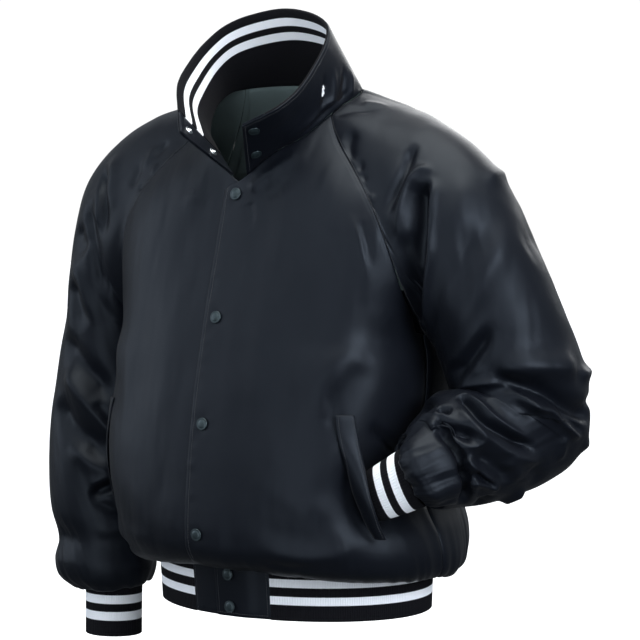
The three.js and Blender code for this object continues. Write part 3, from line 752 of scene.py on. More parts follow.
def add_cloth(name, cloth, wall, finish, free_edge="top", lined_above=math.inf):
    mesh = cloth_mesh(f"{name}_cloth", cloth, millimetres(wall), free_edge, lined_above)
    piece = make_object(f"{name}_cloth", mesh, finish, [name])
    if lined_above < math.inf:
        mesh.materials.append(bpy.data.materials["GreyLining"])
    CLOTHS[name] = cloth


def spun_mesh(name, profile):
    """A round piece from a profile of radius and height, closed on its axis."""
    turns = np.linspace(0, 2 * math.pi, SNAP_SIDES, endpoint=False)
    verts = [(0, 0, profile[0][1])]
    for radius, height in profile[1:-1]:
        verts += [(radius * math.cos(t), radius * math.sin(t), height) for t in turns]
    verts.append((0, 0, profile[-1][1]))
    faces = []
    levels = len(profile) - 2

    def at(level, k):
        return 1 + level * SNAP_SIDES + k % SNAP_SIDES

    for k in range(SNAP_SIDES):
        faces.append((0, at(0, k + 1), at(0, k)))
        faces.append((len(verts) - 1, at(levels - 1, k), at(levels - 1, k + 1)))
        for level in range(levels - 1):
            faces.append((at(level, k), at(level, k + 1), at(level + 1, k + 1), at(level + 1, k)))
    mesh = bpy.data.meshes.new(name)
    mesh.from_pydata([(x * MM, y * MM, z * MM) for x, y, z in verts], [], faces)
    mesh.update()
    return mesh


THREAD = {"pitch": 1.28, "thick": 0.3, "proud": 0.12, "sides": 5}
THREAD_RINGS = [  # place along the stitch, swelling, dip in thicknesses
    (-0.5, 0.5, -0.9),
    (-0.2, 1, 0.2),
    (0.2, 1, 0.2),
    (0.5, 0.5, -0.9),
]


def stitches(name, lines, length):
    """Threads laid end to end along lines of points and normals, joined into one piece."""
    thick, sides = THREAD["thick"], THREAD["sides"]
    turn = np.linspace(0, 2 * math.pi, sides, endpoint=False)
    verts, faces, start = [], [], 0
    for points, normals in lines:
        lengths = np.concatenate([[0], np.cumsum(np.linalg.norm(np.diff(points, axis=0), axis=1))])
        spots = np.arange(length, lengths[-1] - length, length * THREAD["pitch"])

        def at(s, values):
            return np.stack([np.interp(s, lengths, values[:, k]) for k in range(3)], axis=-1)

        middle, up = at(spots, points), unit(at(spots, normals))
        along = unit(at(spots + 0.5, points) - at(spots - 0.5, points))
        across = unit(np.cross(along, up))
        for share, wide, dip in THREAD_RINGS:
            centre = middle + along * (share * length) + up * (dip * thick + THREAD["proud"])
            ring = (centre[:, None] + across[:, None] * (np.cos(turn) * thick * wide)[None, :, None]
                    + up[:, None] * (np.sin(turn) * thick * wide)[None, :, None])
            verts.append(ring.reshape(-1, 3))
        count, rings_count = len(spots), len(THREAD_RINGS)
        s, t = np.meshgrid(np.arange(count), np.arange(sides), indexing="ij")
        s, t, after = s.ravel(), t.ravel(), (t.ravel() + 1) % sides
        for k in range(rings_count - 1):
            low, high = start + k * count * sides, start + (k + 1) * count * sides
            faces += np.stack([low + s * sides + t, low + s * sides + after,
                               high + s * sides + after, high + s * sides + t], axis=1).tolist()
        for k, step in ((0, -1), (rings_count - 1, 1)):
            base = start + k * count * sides
            loop = np.arange(sides)[::step]
            faces += [(base + one * sides + loop).tolist() for one in range(count)]
        start += rings_count * count * sides
    mesh = bpy.data.meshes.new(name)
    mesh.from_pydata((np.concatenate(verts) * MM).tolist(), [], faces)
    return make_object(name, mesh, "BlackThread")


# ---- Finishes --------------------------------------------------------------------------------


def feed(tree, sockets, inputs):
    """Gives a node's inputs their values, or links them to sockets."""
    for key, value in inputs.items():
        if isinstance(value, bpy.types.NodeSocket):
            tree.links.new(value, sockets[key])
        else:
            sockets[key].default_value = value


def node(tree, kind, inputs=None, **settings):
    """A shader node with its settings, and inputs given as values or as sockets to link."""
    made = tree.nodes.new(kind)
    for key, value in settings.items():
        setattr(made, key, value)
    feed(tree, made.inputs, inputs or {})
    return made


def maths(tree, operation, first, second=0.0, clamp=False):
    """The output of a node that does one sum."""
    made = node(tree, "ShaderNodeMath", {0: first, 1: second}, operation=operation, use_clamp=clamp)
    return made.outputs[0]


def chain(tree, value, *steps):
    """A value put through steps of operation and second number, in turn."""
    for step in steps:
        value = maths(tree, step[0], value, *step[1:])
    return value


def new_group(name, inputs, outputs):
    """An empty shader group; inputs are (name, socket kind, default) and outputs (name, kind)."""
    tree = bpy.data.node_groups.new(name, "ShaderNodeTree")
    for label, kind, default in inputs:
        socket = tree.interface.new_socket(label, in_out="INPUT", socket_type=kind)
        if default is not None:
            socket.default_value = default
    for label, kind in outputs:
        tree.interface.new_socket(label, in_out="OUTPUT", socket_type=kind)
    return tree, tree.nodes.new("NodeGroupInput").outputs, tree.nodes.new("NodeGroupOutput").inputs


def weave_group():
    """Long floats of a satin weave: their height and a slight tone."""
    tree, given, out = new_group(
        "SatinFloats",
        [("Map", "NodeSocketVector", None), ("Thread", "NodeSocketFloat", 0.0004)],
        [("Height", "NodeSocketFloat"), ("Tone", "NodeSocketFloat")])
    scale = maths(tree, "DIVIDE", 1.0, given["Thread"])
    spread = node(tree, "ShaderNodeVectorMath", {0: given["Map"], "Scale": scale}, operation="SCALE")
    floats = node(tree, "ShaderNodeTexBrick", {
        "Vector": spread.outputs[0], "Scale": 1.0, "Mortar Size": 0.12, "Mortar Smooth": 0.6,
        "Brick Width": 5.0, "Row Height": 1.0}, offset=0.4, offset_frequency=2)
    slub = node(tree, "ShaderNodeTexNoise", {"Vector": spread.outputs[0], "Scale": 0.035, "Detail": 3.0})
    height = maths(tree, "SUBTRACT", 1.0, floats.outputs["Fac"])
    tree.links.new(height, out["Height"])
    tree.links.new(slub.outputs["Fac"], out["Tone"])


def cloud_group():
    """Broad soft patches over a cloth, from handling and pressing."""
    tree, given, out = new_group(
        "SoftPatches",
        [("Size", "NodeSocketFloat", 0.06)],
        [("Value", "NodeSocketFloat")])
    place = node(tree, "ShaderNodeTexCoord")
    clouds = node(tree, "ShaderNodeTexNoise", {
        "Vector": place.outputs["Object"], "Scale": maths(tree, "DIVIDE", 1.0, given["Size"]),
        "Detail": 4.0, "Roughness": 0.55})
    ranged = node(tree, "ShaderNodeMapRange", {0: clouds.outputs["Fac"], 1: 0.3, 2: 0.7, 3: 0.0, 4: 1.0})
    tree.links.new(ranged.outputs[0], out["Value"])


def knit_group():
    """The small leaning loops of a rib knit, in rows across its wales."""
    tree, given, out = new_group(
        "RibLoops",
        [("Map", "NodeSocketVector", None), ("Wale", "NodeSocketFloat", 0.0031),
         ("Course", "NodeSocketFloat", 0.0012)],
        [("Height", "NodeSocketFloat"), ("Fuzz", "NodeSocketFloat")])
    split = node(tree, "ShaderNodeSeparateXYZ", {0: given["Map"]})
    wale = maths(tree, "DIVIDE", split.outputs[0], given["Wale"])
    lean = chain(tree, wale, ("MULTIPLY", 2.0), ("FRACT",), ("SUBTRACT", 0.5), ("ABSOLUTE",))
    row = chain(tree, split.outputs[1], ("DIVIDE", given["Course"]), ("ADD", lean))
    fuzz = node(tree, "ShaderNodeTexNoise", {"Vector": given["Map"], "Scale": 900.0, "Detail": 2.0})
    half_fuzz = maths(tree, "MULTIPLY", fuzz.outputs["Fac"], 0.5)
    height = chain(tree, row, ("MULTIPLY", 2 * math.pi), ("SINE",), ("MULTIPLY", 0.5), ("ADD", half_fuzz))
    tree.links.new(height, out["Height"])
    tree.links.new(fuzz.outputs["Fac"], out["Fuzz"])


def stripe_group():
    """A mask of two stripes at distances from the free edge, with knitted edges."""
    tree, given, out = new_group(
        "TwoStripes",
        [("Map", "NodeSocketVector", None), ("First", "NodeSocketFloat", 0.02),
         ("Second", "NodeSocketFloat", 0.04), ("Width", "NodeSocketFloat", 0.011)],
        [("Mask", "NodeSocketFloat")])
    split = node(tree, "ShaderNodeSeparateXYZ", {0: given["Map"]})
    wobble = chain(tree, split.outputs[0],
                   ("MULTIPLY", 2 * math.pi / 0.00155), ("SINE",), ("MULTIPLY", 0.00016))
    height = maths(tree, "ADD", split.outputs[1], wobble)
    half = maths(tree, "MULTIPLY", given["Width"], 0.5)
    masks = []
    for start in (given["First"], given["Second"]):
        away = maths(tree, "ABSOLUTE", maths(tree, "SUBTRACT", height, maths(tree, "ADD", start, half)))
        inside = maths(tree, "SUBTRACT", half, away)
        masks.append(maths(tree, "MULTIPLY", inside, 1 / 0.0003, clamp=True))
    tree.links.new(maths(tree, "MAXIMUM", *masks), out["Mask"])


def placed(tree, group, inputs):
    """The outputs of a shader group placed in a material."""
    made = tree.nodes.new("ShaderNodeGroup")
    made.node_tree = bpy.data.node_groups[group]
    feed(tree, made.inputs, inputs)
    return made.outputs


def new_material(name, **constants):
    """A material, its tree and its Principled shader with constants set on it."""
    material = bpy.data.materials.new(name)
    material.use_nodes = True
    tree = material.node_tree
    shader = tree.nodes["Principled BSDF"]
    for key, value in constants.items():
        shader.inputs[key.replace("_", " ")].default_value = value
    return material, tree, shader


def cloth_map(tree):
    """The map of a cloth in metres."""
    return node(tree, "ShaderNodeUVMap", uv_map="cloth").outputs[0]


def mixed(tree, share, first, second):
    """A mix of two colours, each three numbers or a socket."""
    first, second = (colour if isinstance(colour, bpy.types.NodeSocket) else (*colour, 1)
                     for colour in (first, second))
    return node(tree, "ShaderNodeMix", {0: share, 6: first, 7: second}, data_type="RGBA").outputs[2]


def coloured(tree, shader, share, first, second):
    """Gives a shader a colour mixed from two."""
    tree.links.new(mixed(tree, share, first, second), shader.inputs["Base Color"])


def roughened(tree, shader, least, value, by):
    """Gives a shader a roughness that rises from its least with a value."""
    rough = maths(tree, "ADD", least, maths(tree, "MULTIPLY", value, by))
    tree.links.new(rough, shader.inputs["Roughness"])


def times(colour, by):
    """A colour made brighter or darker."""
    return [min(1, c * by) for c in colour]


def bumped(tree, shader, height, distance, strength, under=None):
    """Gives a shader a bump, over another one where `under` is its normal, and returns its own."""
    bump = node(tree, "ShaderNodeBump", {"Height": height, "Distance": distance, "Strength": strength})
    if under:
        tree.links.new(under, bump.inputs["Normal"])
    tree.links.new(bump.outputs[0], shader.inputs["Normal"])
    return bump.outputs[0]


def satin_material(colours):
    """The black satin of the body, with its weave and fine crinkles."""
    _, tree, shader = new_material(
        "BlackSatin", Specular_IOR_Level=0.165, Sheen_Weight=0.015, Sheen_Roughness=0.3,
        Specular_Tint=(0.8, 0.9, 1.0, 1))
    patches = placed(tree, "SoftPatches", {"Size": 0.09})["Value"]
    weave = placed(tree, "SatinFloats", {"Map": cloth_map(tree), "Thread": 0.00045})
    tone = chain(tree, patches, ("MULTIPLY", 0.6), ("ADD", maths(tree, "MULTIPLY", weave["Tone"], 0.4)))
    coloured(tree, shader, tone, colours.satin, colours.satin_worn)
    roughened(tree, shader, 0.34, tone, 0.1)
    place = node(tree, "ShaderNodeTexCoord").outputs["Object"]
    crinkle = node(tree, "ShaderNodeTexNoise", {"Vector": place, "Scale": 140.0, "Detail": 3.0})
    under = bumped(tree, shader, crinkle.outputs["Fac"], 0.0003, 0.25)
    bumped(tree, shader, weave["Height"], 0.00006, 0.35, under)


def rib_material(name, colours, first, second, width):
    """A rib knit with two stripes, placed in metres from its free edge."""
    _, tree, shader = new_material(
        name, Roughness=0.9, Specular_IOR_Level=0.1, Sheen_Weight=0.02, Sheen_Roughness=0.5)
    where = cloth_map(tree)
    knit = placed(tree, "RibLoops", {"Map": where})
    black = mixed(tree, knit["Fuzz"], colours.rib, times(colours.rib, 1.9))
    white = mixed(tree, knit["Fuzz"], colours.stripe, times(colours.stripe, 0.88))
    stripes = placed(tree, "TwoStripes", {"Map": where, "First": first, "Second": second, "Width": width})
    coloured(tree, shader, stripes["Mask"], black, white)
    bumped(tree, shader, knit["Height"], 0.0002, 0.6)


def lining_material(colours):
    """The grey lining, woven like the satin."""
    _, tree, shader = new_material("GreyLining", Sheen_Weight=0.1)
    weave = placed(tree, "SatinFloats", {"Map": cloth_map(tree), "Thread": 0.0005})
    patches = placed(tree, "SoftPatches", {"Size": 0.05})["Value"]
    coloured(tree, shader, patches, colours.lining, times(colours.lining, 1.25))
    roughened(tree, shader, 0.42, weave["Tone"], 0.15)
    bumped(tree, shader, weave["Height"], 0.00008, 0.5)


def metal_material(name, colour, metallic, rough):
    """A snap's metal, worn and scuffed."""
    _, tree, shader = new_material(name, Metallic=metallic)
    scuffs = placed(tree, "SoftPatches", {"Size": 0.0014})["Value"]
    wear = placed(tree, "SoftPatches", {"Size": 0.006})["Value"]
    coloured(tree, shader, wear, colour, times(colour, 1.5))
    roughened(tree, shader, rough, scuffs, 0.14)
    bumped(tree, shader, scuffs, 0.00003, 0.4)


def thread_material(colours):
    """The topstitching's twisted thread."""
    _, tree, shader = new_material("BlackThread", Sheen_Weight=0.2)
    twist = placed(tree, "SoftPatches", {"Size": 0.0009})["Value"]
    coloured(tree, shader, twist, colours.thread, times(colours.thread, 2))
    roughened(tree, shader, 0.4, twist, 0.2)
    bumped(tree, shader, twist, 0.0001, 0.5)


# ---- What a user can change ------------------------------------------------------------------


def length_of(label, words, size):
    """A length that a user can change, given in millimetres."""
    return FloatProperty(name=label, description=words, default=size * MM, min=0, unit="LENGTH")


def strength_of(label, words):
    """A strength that a user can change, 1 as built."""
    return FloatProperty(name=label, description=words, default=1.0, min=0, max=2)


def colour_of(label, words, value):
    """A colour that a user can change."""
    return FloatVectorProperty(name=label, description=words, default=value, size=3, min=0, max=1,
                               subtype="COLOR")


class JacketCloth(bpy.types.PropertyGroup):
    satin_wall: length_of("Satin wall", "Thickness of the satin pieces", 1.2)
    rib_wall: length_of("Rib wall", "Thickness of the knitted trims", 2.2)
    trim_wall: length_of("Trim wall", "Thickness of the tabs and pocket welts", 1.4)
    wale: length_of("Wale", "Width of one rib of the knit", 3.1)
    rib_height: length_of("Rib height", "How far each rib stands up", 0.32)
    stitch: length_of("Stitch", "Length of one stitch of the topstitching", 2.5)
    folds: strength_of("Folds", "Strength of the folds and creases")
    gathers: strength_of("Gathers", "Strength of the gathers at the ribs")


class JacketColours(bpy.types.PropertyGroup):
    satin: colour_of("Satin", "Colour of the satin", (0.0034, 0.0041, 0.0064))
    satin_worn: colour_of("Satin, paler", "Colour of the satin where it is paler", (0.005, 0.006, 0.0088))
    rib: colour_of("Rib", "Colour of the knit's ground", (0.0032, 0.0032, 0.0042))
    stripe: colour_of("Stripe", "Colour of the knit's stripes", (0.92, 0.93, 0.95))
    lining: colour_of("Lining", "Colour of the lining inside the neck", (0.16, 0.21, 0.205))
    snap: colour_of("Snap", "Colour of the snap caps", (0.02, 0.03, 0.033))
    stud: colour_of("Stud", "Colour of the bright snap parts", (0.6, 0.62, 0.63))
    thread: colour_of("Thread", "Colour of the topstitching", (0.008, 0.009, 0.011))


class JacketStudio(bpy.types.PropertyGroup):
    azimuth: FloatProperty(name="Azimuth", description="Camera turn round the jacket",
                           default=math.radians(35), subtype="ANGLE")
    elevation: FloatProperty(name="Elevation", description="Camera height angle", default=math.radians(5),
                             subtype="ANGLE")
    distance: FloatProperty(name="Distance", description="Camera distance", default=3.8, unit="LENGTH")
    field: FloatProperty(name="Field", description="Width seen at the jacket", default=0.7808, unit="LENGTH")
    target: FloatVectorProperty(name="Target", description="Where the camera looks",
                                default=(0.045, 0.0037, -0.261), subtype="TRANSLATION")
    room: FloatProperty(name="Room light", description="Strength of the plain light from all round",
                        default=0.42, min=0)
    shoulder_height: FloatProperty(name="Shoulder height", description="Height of the neck above the floor",
                                   default=1.45, unit="LENGTH")


def millimetres(value):
    """A length in metres, such as a property's, in millimetres."""
    return value / MM


# ---- Folds -----------------------------------------------------------------------------------

# A path, then height, width and the shares of its length over which it rises and falls away. A crest
# (2 round, 1 sharp) and the lean of its steep side follow where they are not 2 and 0.
FRONT_LEFT_FOLDS = [  # paths of x and z
    ([(152, -122), (168, -148), (176, -175), (183, -213)], 2.0, 6, 0.35, 0.4, 1.7),
    ([(166, -130), (178, -160), (184, -190)], -2.2, 6, 0.3, 0.4),
    ([(132, -128), (146, -165), (152, -215)], -1.4, 9, 0.4, 0.5),
    ([(62, -140), (66, -280), (70, -430)], 1.8, 26, 0.4, 0.4),
    ([(118, -170), (112, -300), (116, -440)], -2.2, 25, 0.4, 0.4),
    ([(196, -285), (172, -330), (142, -390), (122, -440)], -3.6, 20, 0.25, 0.5),
    ([(190, -262), (155, -312), (122, -372)], 2.6, 20, 0.25, 0.5),
    ([(168, -470), (122, -457), (76, -425)], 2.0, 15, 0.3, 0.5),
    ([(170, -502), (120, -500), (62, -484)], -2.4, 16, 0.3, 0.5),
    ([(200, -505), (160, -522), (108, -520), (70, -508)], 2.6, 11, 0.3, 0.5),
    ([(150, -536), (110, -538), (78, -530)], -1.8, 7, 0.3, 0.5),
    ([(14, -101), (34, -87), (56, -69), (80, -49)], 3.2, 7.5, 0.2, 0.35),
    ([(30, -110), (56, -96), (84, -73)], -2.0, 10, 0.3, 0.5),
    ([(20, -112), (27, -128), (29, -150)], -1.5, 6, 0.2, 0.5),
    ([(190, -364), (196, -400), (198, -436), (200, -470)], -7.0, 6.5, 0.2, 0.3),
    ([(150, -300), (160, -345), (166, -400)], -1.6, 9, 0.3, 0.4),
]
FRONT_RIGHT_FOLDS = [
    ([(-60, -140), (-64, -300), (-60, -440)], 1.9, 24, 0.4, 0.4),
    ([(-110, -180), (-118, -320), (-112, -460)], -2.3, 24, 0.4, 0.4),
    ([(-160, -220), (-166, -340), (-160, -470)], 2.3, 19, 0.4, 0.4),
    ([(-192, -290), (-168, -345), (-140, -400)], -3.0, 18, 0.25, 0.5),
    ([(-192, -494), (-174, -518), (-150, -532)], 4.2, 8, 0.3, 0.4, 1.7),
    ([(-194, -516), (-172, -536), (-140, -540)], -3.8, 6, 0.3, 0.4),
    ([(-150, -505), (-110, -520), (-70, -512)], 2.0, 12, 0.3, 0.5),
    ([(-40, -112), (-66, -110), (-90, -120)], 1.1, 8, 0.3, 0.6),
]
BACK_FOLDS = [
    ([(-196, -250), (-158, -305), (-118, -380)], -6.0, 17, 0.2, 0.5, 2.0, 0.2),
    ([(-192, -300), (-150, -365), (-112, -450)], 5.0, 16, 0.2, 0.5, 1.8),
    ([(194, -240), (160, -310), (128, -405)], -6.5, 18, 0.2, 0.5, 2.0, -0.2),
    ([(190, -305), (146, -355), (124, -440)], 4.6, 15, 0.2, 0.5, 1.8),
    ([(-40, -110), (-48, -250), (-32, -380)], 2.8, 22, 0.4, 0.4),
    ([(46, -130), (38, -260), (54, -380)], -3.0, 20, 0.4, 0.4),
    ([(-155, -468), (-62, -494), (30, -484), (122, -500)], 5.0, 17, 0.3, 0.3),
    ([(-130, -505), (0, -522), (142, -514)], -5.0, 9, 0.3, 0.3),
    ([(62, -430), (104, -456), (172, -448)], -4.0, 10, 0.4, 0.3),
    ([(-100, -60), (-40, -76), (24, -72)], 1.8, 13, 0.4, 0.4),
    ([(-180, -400), (-120, -432), (-64, -428)], -3.4, 11, 0.3, 0.5),
    ([(20, -400), (80, -392), (128, -412)], 2.6, 13, 0.4, 0.4),
]
COLLAR_FOLDS = [  # paths of degrees and rise
    ([(58, 0.12), (68, 0.42), (76, 0.8)], -3.0, 4.5, 0.3, 0.4),
    ([(66, 0.1), (76, 0.36), (86, 0.7)], 3.2, 5, 0.25, 0.4, 1.6),
    ([(74, 0.06), (84, 0.3), (98, 0.55)], -3.0, 4.5, 0.25, 0.4),
    ([(84, 0.05), (94, 0.22), (108, 0.4)], 2.6, 4.5, 0.25, 0.4, 1.6),
    ([(40, 0.07), (56, 0.12), (74, 0.13), (92, 0.16)], -2.2, 4, 0.3, 0.3),
    ([(46, 0.2), (62, 0.24), (78, 0.24)], 1.8, 4, 0.3, 0.3, 1.7),
    ([(30, 0.1), (46, 0.22), (66, 0.25)], 1.4, 7, 0.3, 0.4),
    ([(20, 0.5), (38, 0.55), (56, 0.62)], -1.0, 9, 0.3, 0.4),
    ([(126, 0.15), (140, 0.5), (150, 0.8)], 1.6, 9, 0.3, 0.4),
    ([(168, 0.1), (176, 0.45), (188, 0.7)], -1.6, 8, 0.3, 0.4),
    ([(214, 0.12), (226, 0.5), (232, 0.75)], 1.7, 8, 0.3, 0.4),
    ([(268, 0.08), (276, 0.4), (284, 0.7)], -1.7, 6, 0.3, 0.4),
    ([(300, 0.12), (310, 0.5), (322, 0.8)], 1.5, 8, 0.3, 0.4),
]
LEFT_SLEEVE_FOLDS = [  # paths of row and turn
    # shoulder
    ([(2.05, 146), (1.95, 133), (1.88, 121), (1.68, 109), (1.4, 97), (1.1, 84)],
     -8.5, 6, 0.25, 0.35, 2.0, -0.2),
    ([(2.65, 132), (2.3, 128), (2.03, 119), (1.9, 110), (1.75, 99), (1.6, 86), (1.55, 74)],
     5.5, 5, 0.15, 0.4, 1.5),
    ([(2.45, 124), (2.5, 110), (2.58, 97), (2.55, 82), (2.45, 64), (2.2, 44), (1.7, 26), (1.1, 10)],
     -22.0, 12, 0.1, 0.1, 2.3, -0.35),
    ([(1.9, 88), (1.7, 76), (1.65, 62), (1.7, 48), (1.4, 28)], -7.0, 8, 0.3, 0.2),
    ([(2.62, 128), (2.68, 117), (2.75, 106), (2.88, 96), (3.0, 86), (2.97, 72), (2.95, 58), (2.85, 42),
      (2.4, 28)],
     
     8.0, 6, 0.12, 0.25, 1.4, 0.3),
    ([(0.6, 141), (0.35, 128), (0.05, 112)], -3.6, 7, 0.4, 0.1),
    ([(0.9, 166), (0.4, 158), (0.05, 150)], -3.0, 7, 0.4, 0.1),
    ([(0.95, 174), (0.3, 169)], 2.2, 6, 0.4, 0.2),
    ([(0.6, 118), (0.25, 106)], -2.4, 4, 0.4, 0.3),
    ([(0.55, 108), (0.15, 98)], -2.0, 3.5, 0.4, 0.3),
    ([(0.6, 96), (0.2, 84)], 1.8, 4, 0.4, 0.3),
    # upper arm
    ([(3.3, 150), (3.4, 125), (3.5, 100)], 2.0, 14, 0.4, 0.4),
    ([(4.0, 128), (4.2, 110), (4.4, 92), (4.6, 74)], -4.5, 14, 0.35, 0.4),
    ([(4.6, 160), (4.9, 135), (5.0, 110), (5.2, 85), (5.6, 62)], 5.2, 17, 0.35, 0.3, 1.9),
    ([(5.5, 110), (5.7, 88), (5.75, 66), (5.8, 40)], 3.6, 8, 0.35, 0.3, 1.8),
    ([(5.9, 108), (6.0, 88), (6.1, 66), (6.1, 42)], -10.0, 9, 0.35, 0.3),
    ([(6.35, 84), (6.45, 70), (6.6, 55)], 4.0, 7, 0.35, 0.3, 1.8),
    # elbow: the upper arm hangs over, then the forearm's ridge and its spike
    ([(6.45, 90), (6.9, 106), (7.2, 126), (7.45, 148), (7.6, 170)], 10.0, 16, 0.25, 0.25, 2.0, 0.2),
    ([(7.0, 82), (7.3, 94), (7.7, 107), (8.1, 122), (8.45, 140), (8.6, 158), (8.6, 176)],
     -14.0, 11, 0.2, 0.2, 2.2, 0.25),
    ([(6.75, 42), (6.65, 58), (6.8, 72), (7.05, 86), (7.4, 94), (7.75, 99), (8.05, 104), (8.3, 112)],
     7.0, 5.5, 0.15, 0.1, 1.5),
    ([(8.1, 104), (8.32, 111), (8.4, 119), (8.7, 122), (9.05, 123), (9.3, 127), (9.45, 138), (9.4, 150)],
     8.0, 5, 0.12, 0.2, 1.4),
    ([(8.4, 123), (8.7, 127), (9.0, 131), (9.15, 139), (9.2, 151)], -6.0, 5, 0.2, 0.25),
    ([(7.4, 70), (7.9, 79), (8.6, 88), (9.3, 94)], 2.4, 5, 0.3, 0.4, 1.8),
    ([(7.9, 90), (8.6, 98), (9.3, 104)], -2.2, 5, 0.3, 0.4),
    ([(9.9, 122), (10.3, 131), (10.7, 142)], 4.0, 6, 0.3, 0.3, 1.7),
    # forearm: the long valley
    ([(11.1, 32), (11.45, 39), (11.85, 53), (12.0, 67), (11.9, 82), (11.7, 96), (11.45, 106), (11.15, 113)],
     -12.0, 5.5, 0.12, 0.25),
    ([(10.85, 30), (11.15, 45), (11.5, 60), (11.6, 72), (11.5, 86), (11.3, 97), (11.0, 108)],
     4.5, 4.5, 0.15, 0.3, 1.5),
    ([(11.8, 36), (12.4, 56), (12.5, 76), (12.35, 93), (12.0, 109), (11.6, 121), (11.15, 133)],
     7.0, 8, 0.2, 0.25, 1.7),
    # the pit and the leaf
    ([(12.45, 42), (12.8, 29)], -10.0, 5, 0.35, 0.35),
    ([(12.75, 46), (13.0, 37), (13.0, 28)], 3.0, 3.5, 0.35, 0.35, 1.6),
    ([(13.95, 43), (13.7, 51), (13.4, 61), (13.1, 71), (12.82, 81)], -12.5, 7, 0.2, 0.2, 2.1),
    ([(13.35, 58), (13.15, 68), (12.95, 77)], 2.2, 2.4, 0.35, 0.35, 1.6),
    ([(13.1, 49), (12.85, 64), (12.6, 77), (12.72, 86), (13.1, 88), (13.45, 84), (13.75, 77)],
     5.0, 5, 0.2, 0.3, 1.5),
    # the wrist ridge, with a valley under it
    ([(13.92, 27), (14.12, 48), (14.12, 66), (14.02, 81), (14.14, 95), (14.1, 108), (14.02, 124),
      (14.1, 144), (14.15, 168)],
     
     9.0, 4.8, 0.12, 0.2, 1.4),
    ([(14.4, 46), (14.46, 64), (14.45, 82), (14.45, 98), (14.5, 113), (14.42, 131), (14.4, 154),
      (14.35, 176)],
     
     -13.0, 6.5, 0.15, 0.2, 2.1),
    ([(11.5, 0), (12.2, -4), (13.0, -8), (13.8, -8), (14.6, 0)], -25.0, 20, 0.35, 0.15, 2.2),
    ([(15.1, 36), (15.25, 80), (15.2, 120), (15.1, 160)], 5.0, 9, 0.25, 0.3),
    # the pointed folds under the forearm
    ([(13.95, 95), (13.75, 106), (13.5, 117), (13.2, 128), (12.88, 143)], 6.0, 4, 0.15, 0.25, 1.5),
    ([(14.02, 125), (13.6, 131), (13.2, 138), (12.88, 145)], 5.5, 4, 0.2, 0.25, 1.5),
    ([(13.85, 112), (13.55, 123), (13.25, 132), (12.98, 141)], -7.0, 4.5, 0.25, 0.25),
    ([(13.4, 92), (13.0, 107), (12.7, 122), (12.5, 140)], -7.0, 8.5, 0.25, 0.3),
    ([(12.4, 108), (12.2, 122), (12.15, 140)], 4.0, 9, 0.3, 0.4),
    ([(11.7, 126), (11.6, 140), (11.4, 156)], -4.0, 9, 0.3, 0.4),
    # breaks in the outline
    ([(11.85, 156), (12.25, 168), (12.5, 182)], 7.5, 9, 0.3, 0.3, 1.6),
    ([(13.3, 150), (13.35, 166), (13.3, 186)], -6.5, 8, 0.3, 0.3),
    ([(4.0, 198), (3.95, 176), (3.9, 150)], 4.5, 10, 0.3, 0.35, 1.5),
    ([(5.2, 202), (5.3, 178), (5.3, 156)], -4.0, 22, 0.3, 0.35),
    ([(7.7, 198), (7.8, 178), (7.65, 158)], 7.5, 9, 0.3, 0.35, 1.5),
    ([(8.4, 198), (8.35, 178), (8.25, 162)], -5.0, 7.5, 0.3, 0.35),
    ([(9.35, 198), (9.4, 176), (9.45, 154)], 5.5, 9, 0.3, 0.35, 1.7),
    # behind
    ([(8.2, 188), (8.6, 213), (8.9, 240)], -6.0, 11, 0.2, 0.4, 2.0, 0.1),
    ([(9.1, 184), (9.5, 211), (9.7, 238)], 5.0, 8, 0.2, 0.4, 1.6),
    ([(7.0, 198), (7.2, 225), (7.0, 252)], -4.6, 14, 0.3, 0.4),
    ([(11.0, 200), (11.6, 224), (12.2, 246)], -6.5, 8, 0.25, 0.4),
    ([(12.0, 192), (12.6, 215), (13.2, 239)], 5.0, 7, 0.25, 0.4, 1.6),
    ([(13.4, 200), (13.9, 226), (14.2, 255)], -6.0, 7, 0.25, 0.4),
    ([(5.4, 210), (5.2, 240), (4.6, 264)], -7.0, 13, 0.3, 0.3),
    ([(4.8, 205), (4.4, 232), (3.9, 256)], 5.5, 11, 0.3, 0.3, 1.7),
    ([(2.6, 200), (2.9, 228), (2.9, 262), (2.5, 300)], -9.0, 12, 0.25, 0.3, 2.0, 0.2),
    ([(3.2, 206), (3.5, 232), (3.4, 264)], 5.5, 9, 0.3, 0.3, 1.6),
    ([(1.2, 205), (1.5, 228), (1.8, 250)], -3.0, 9, 0.3, 0.4),
]
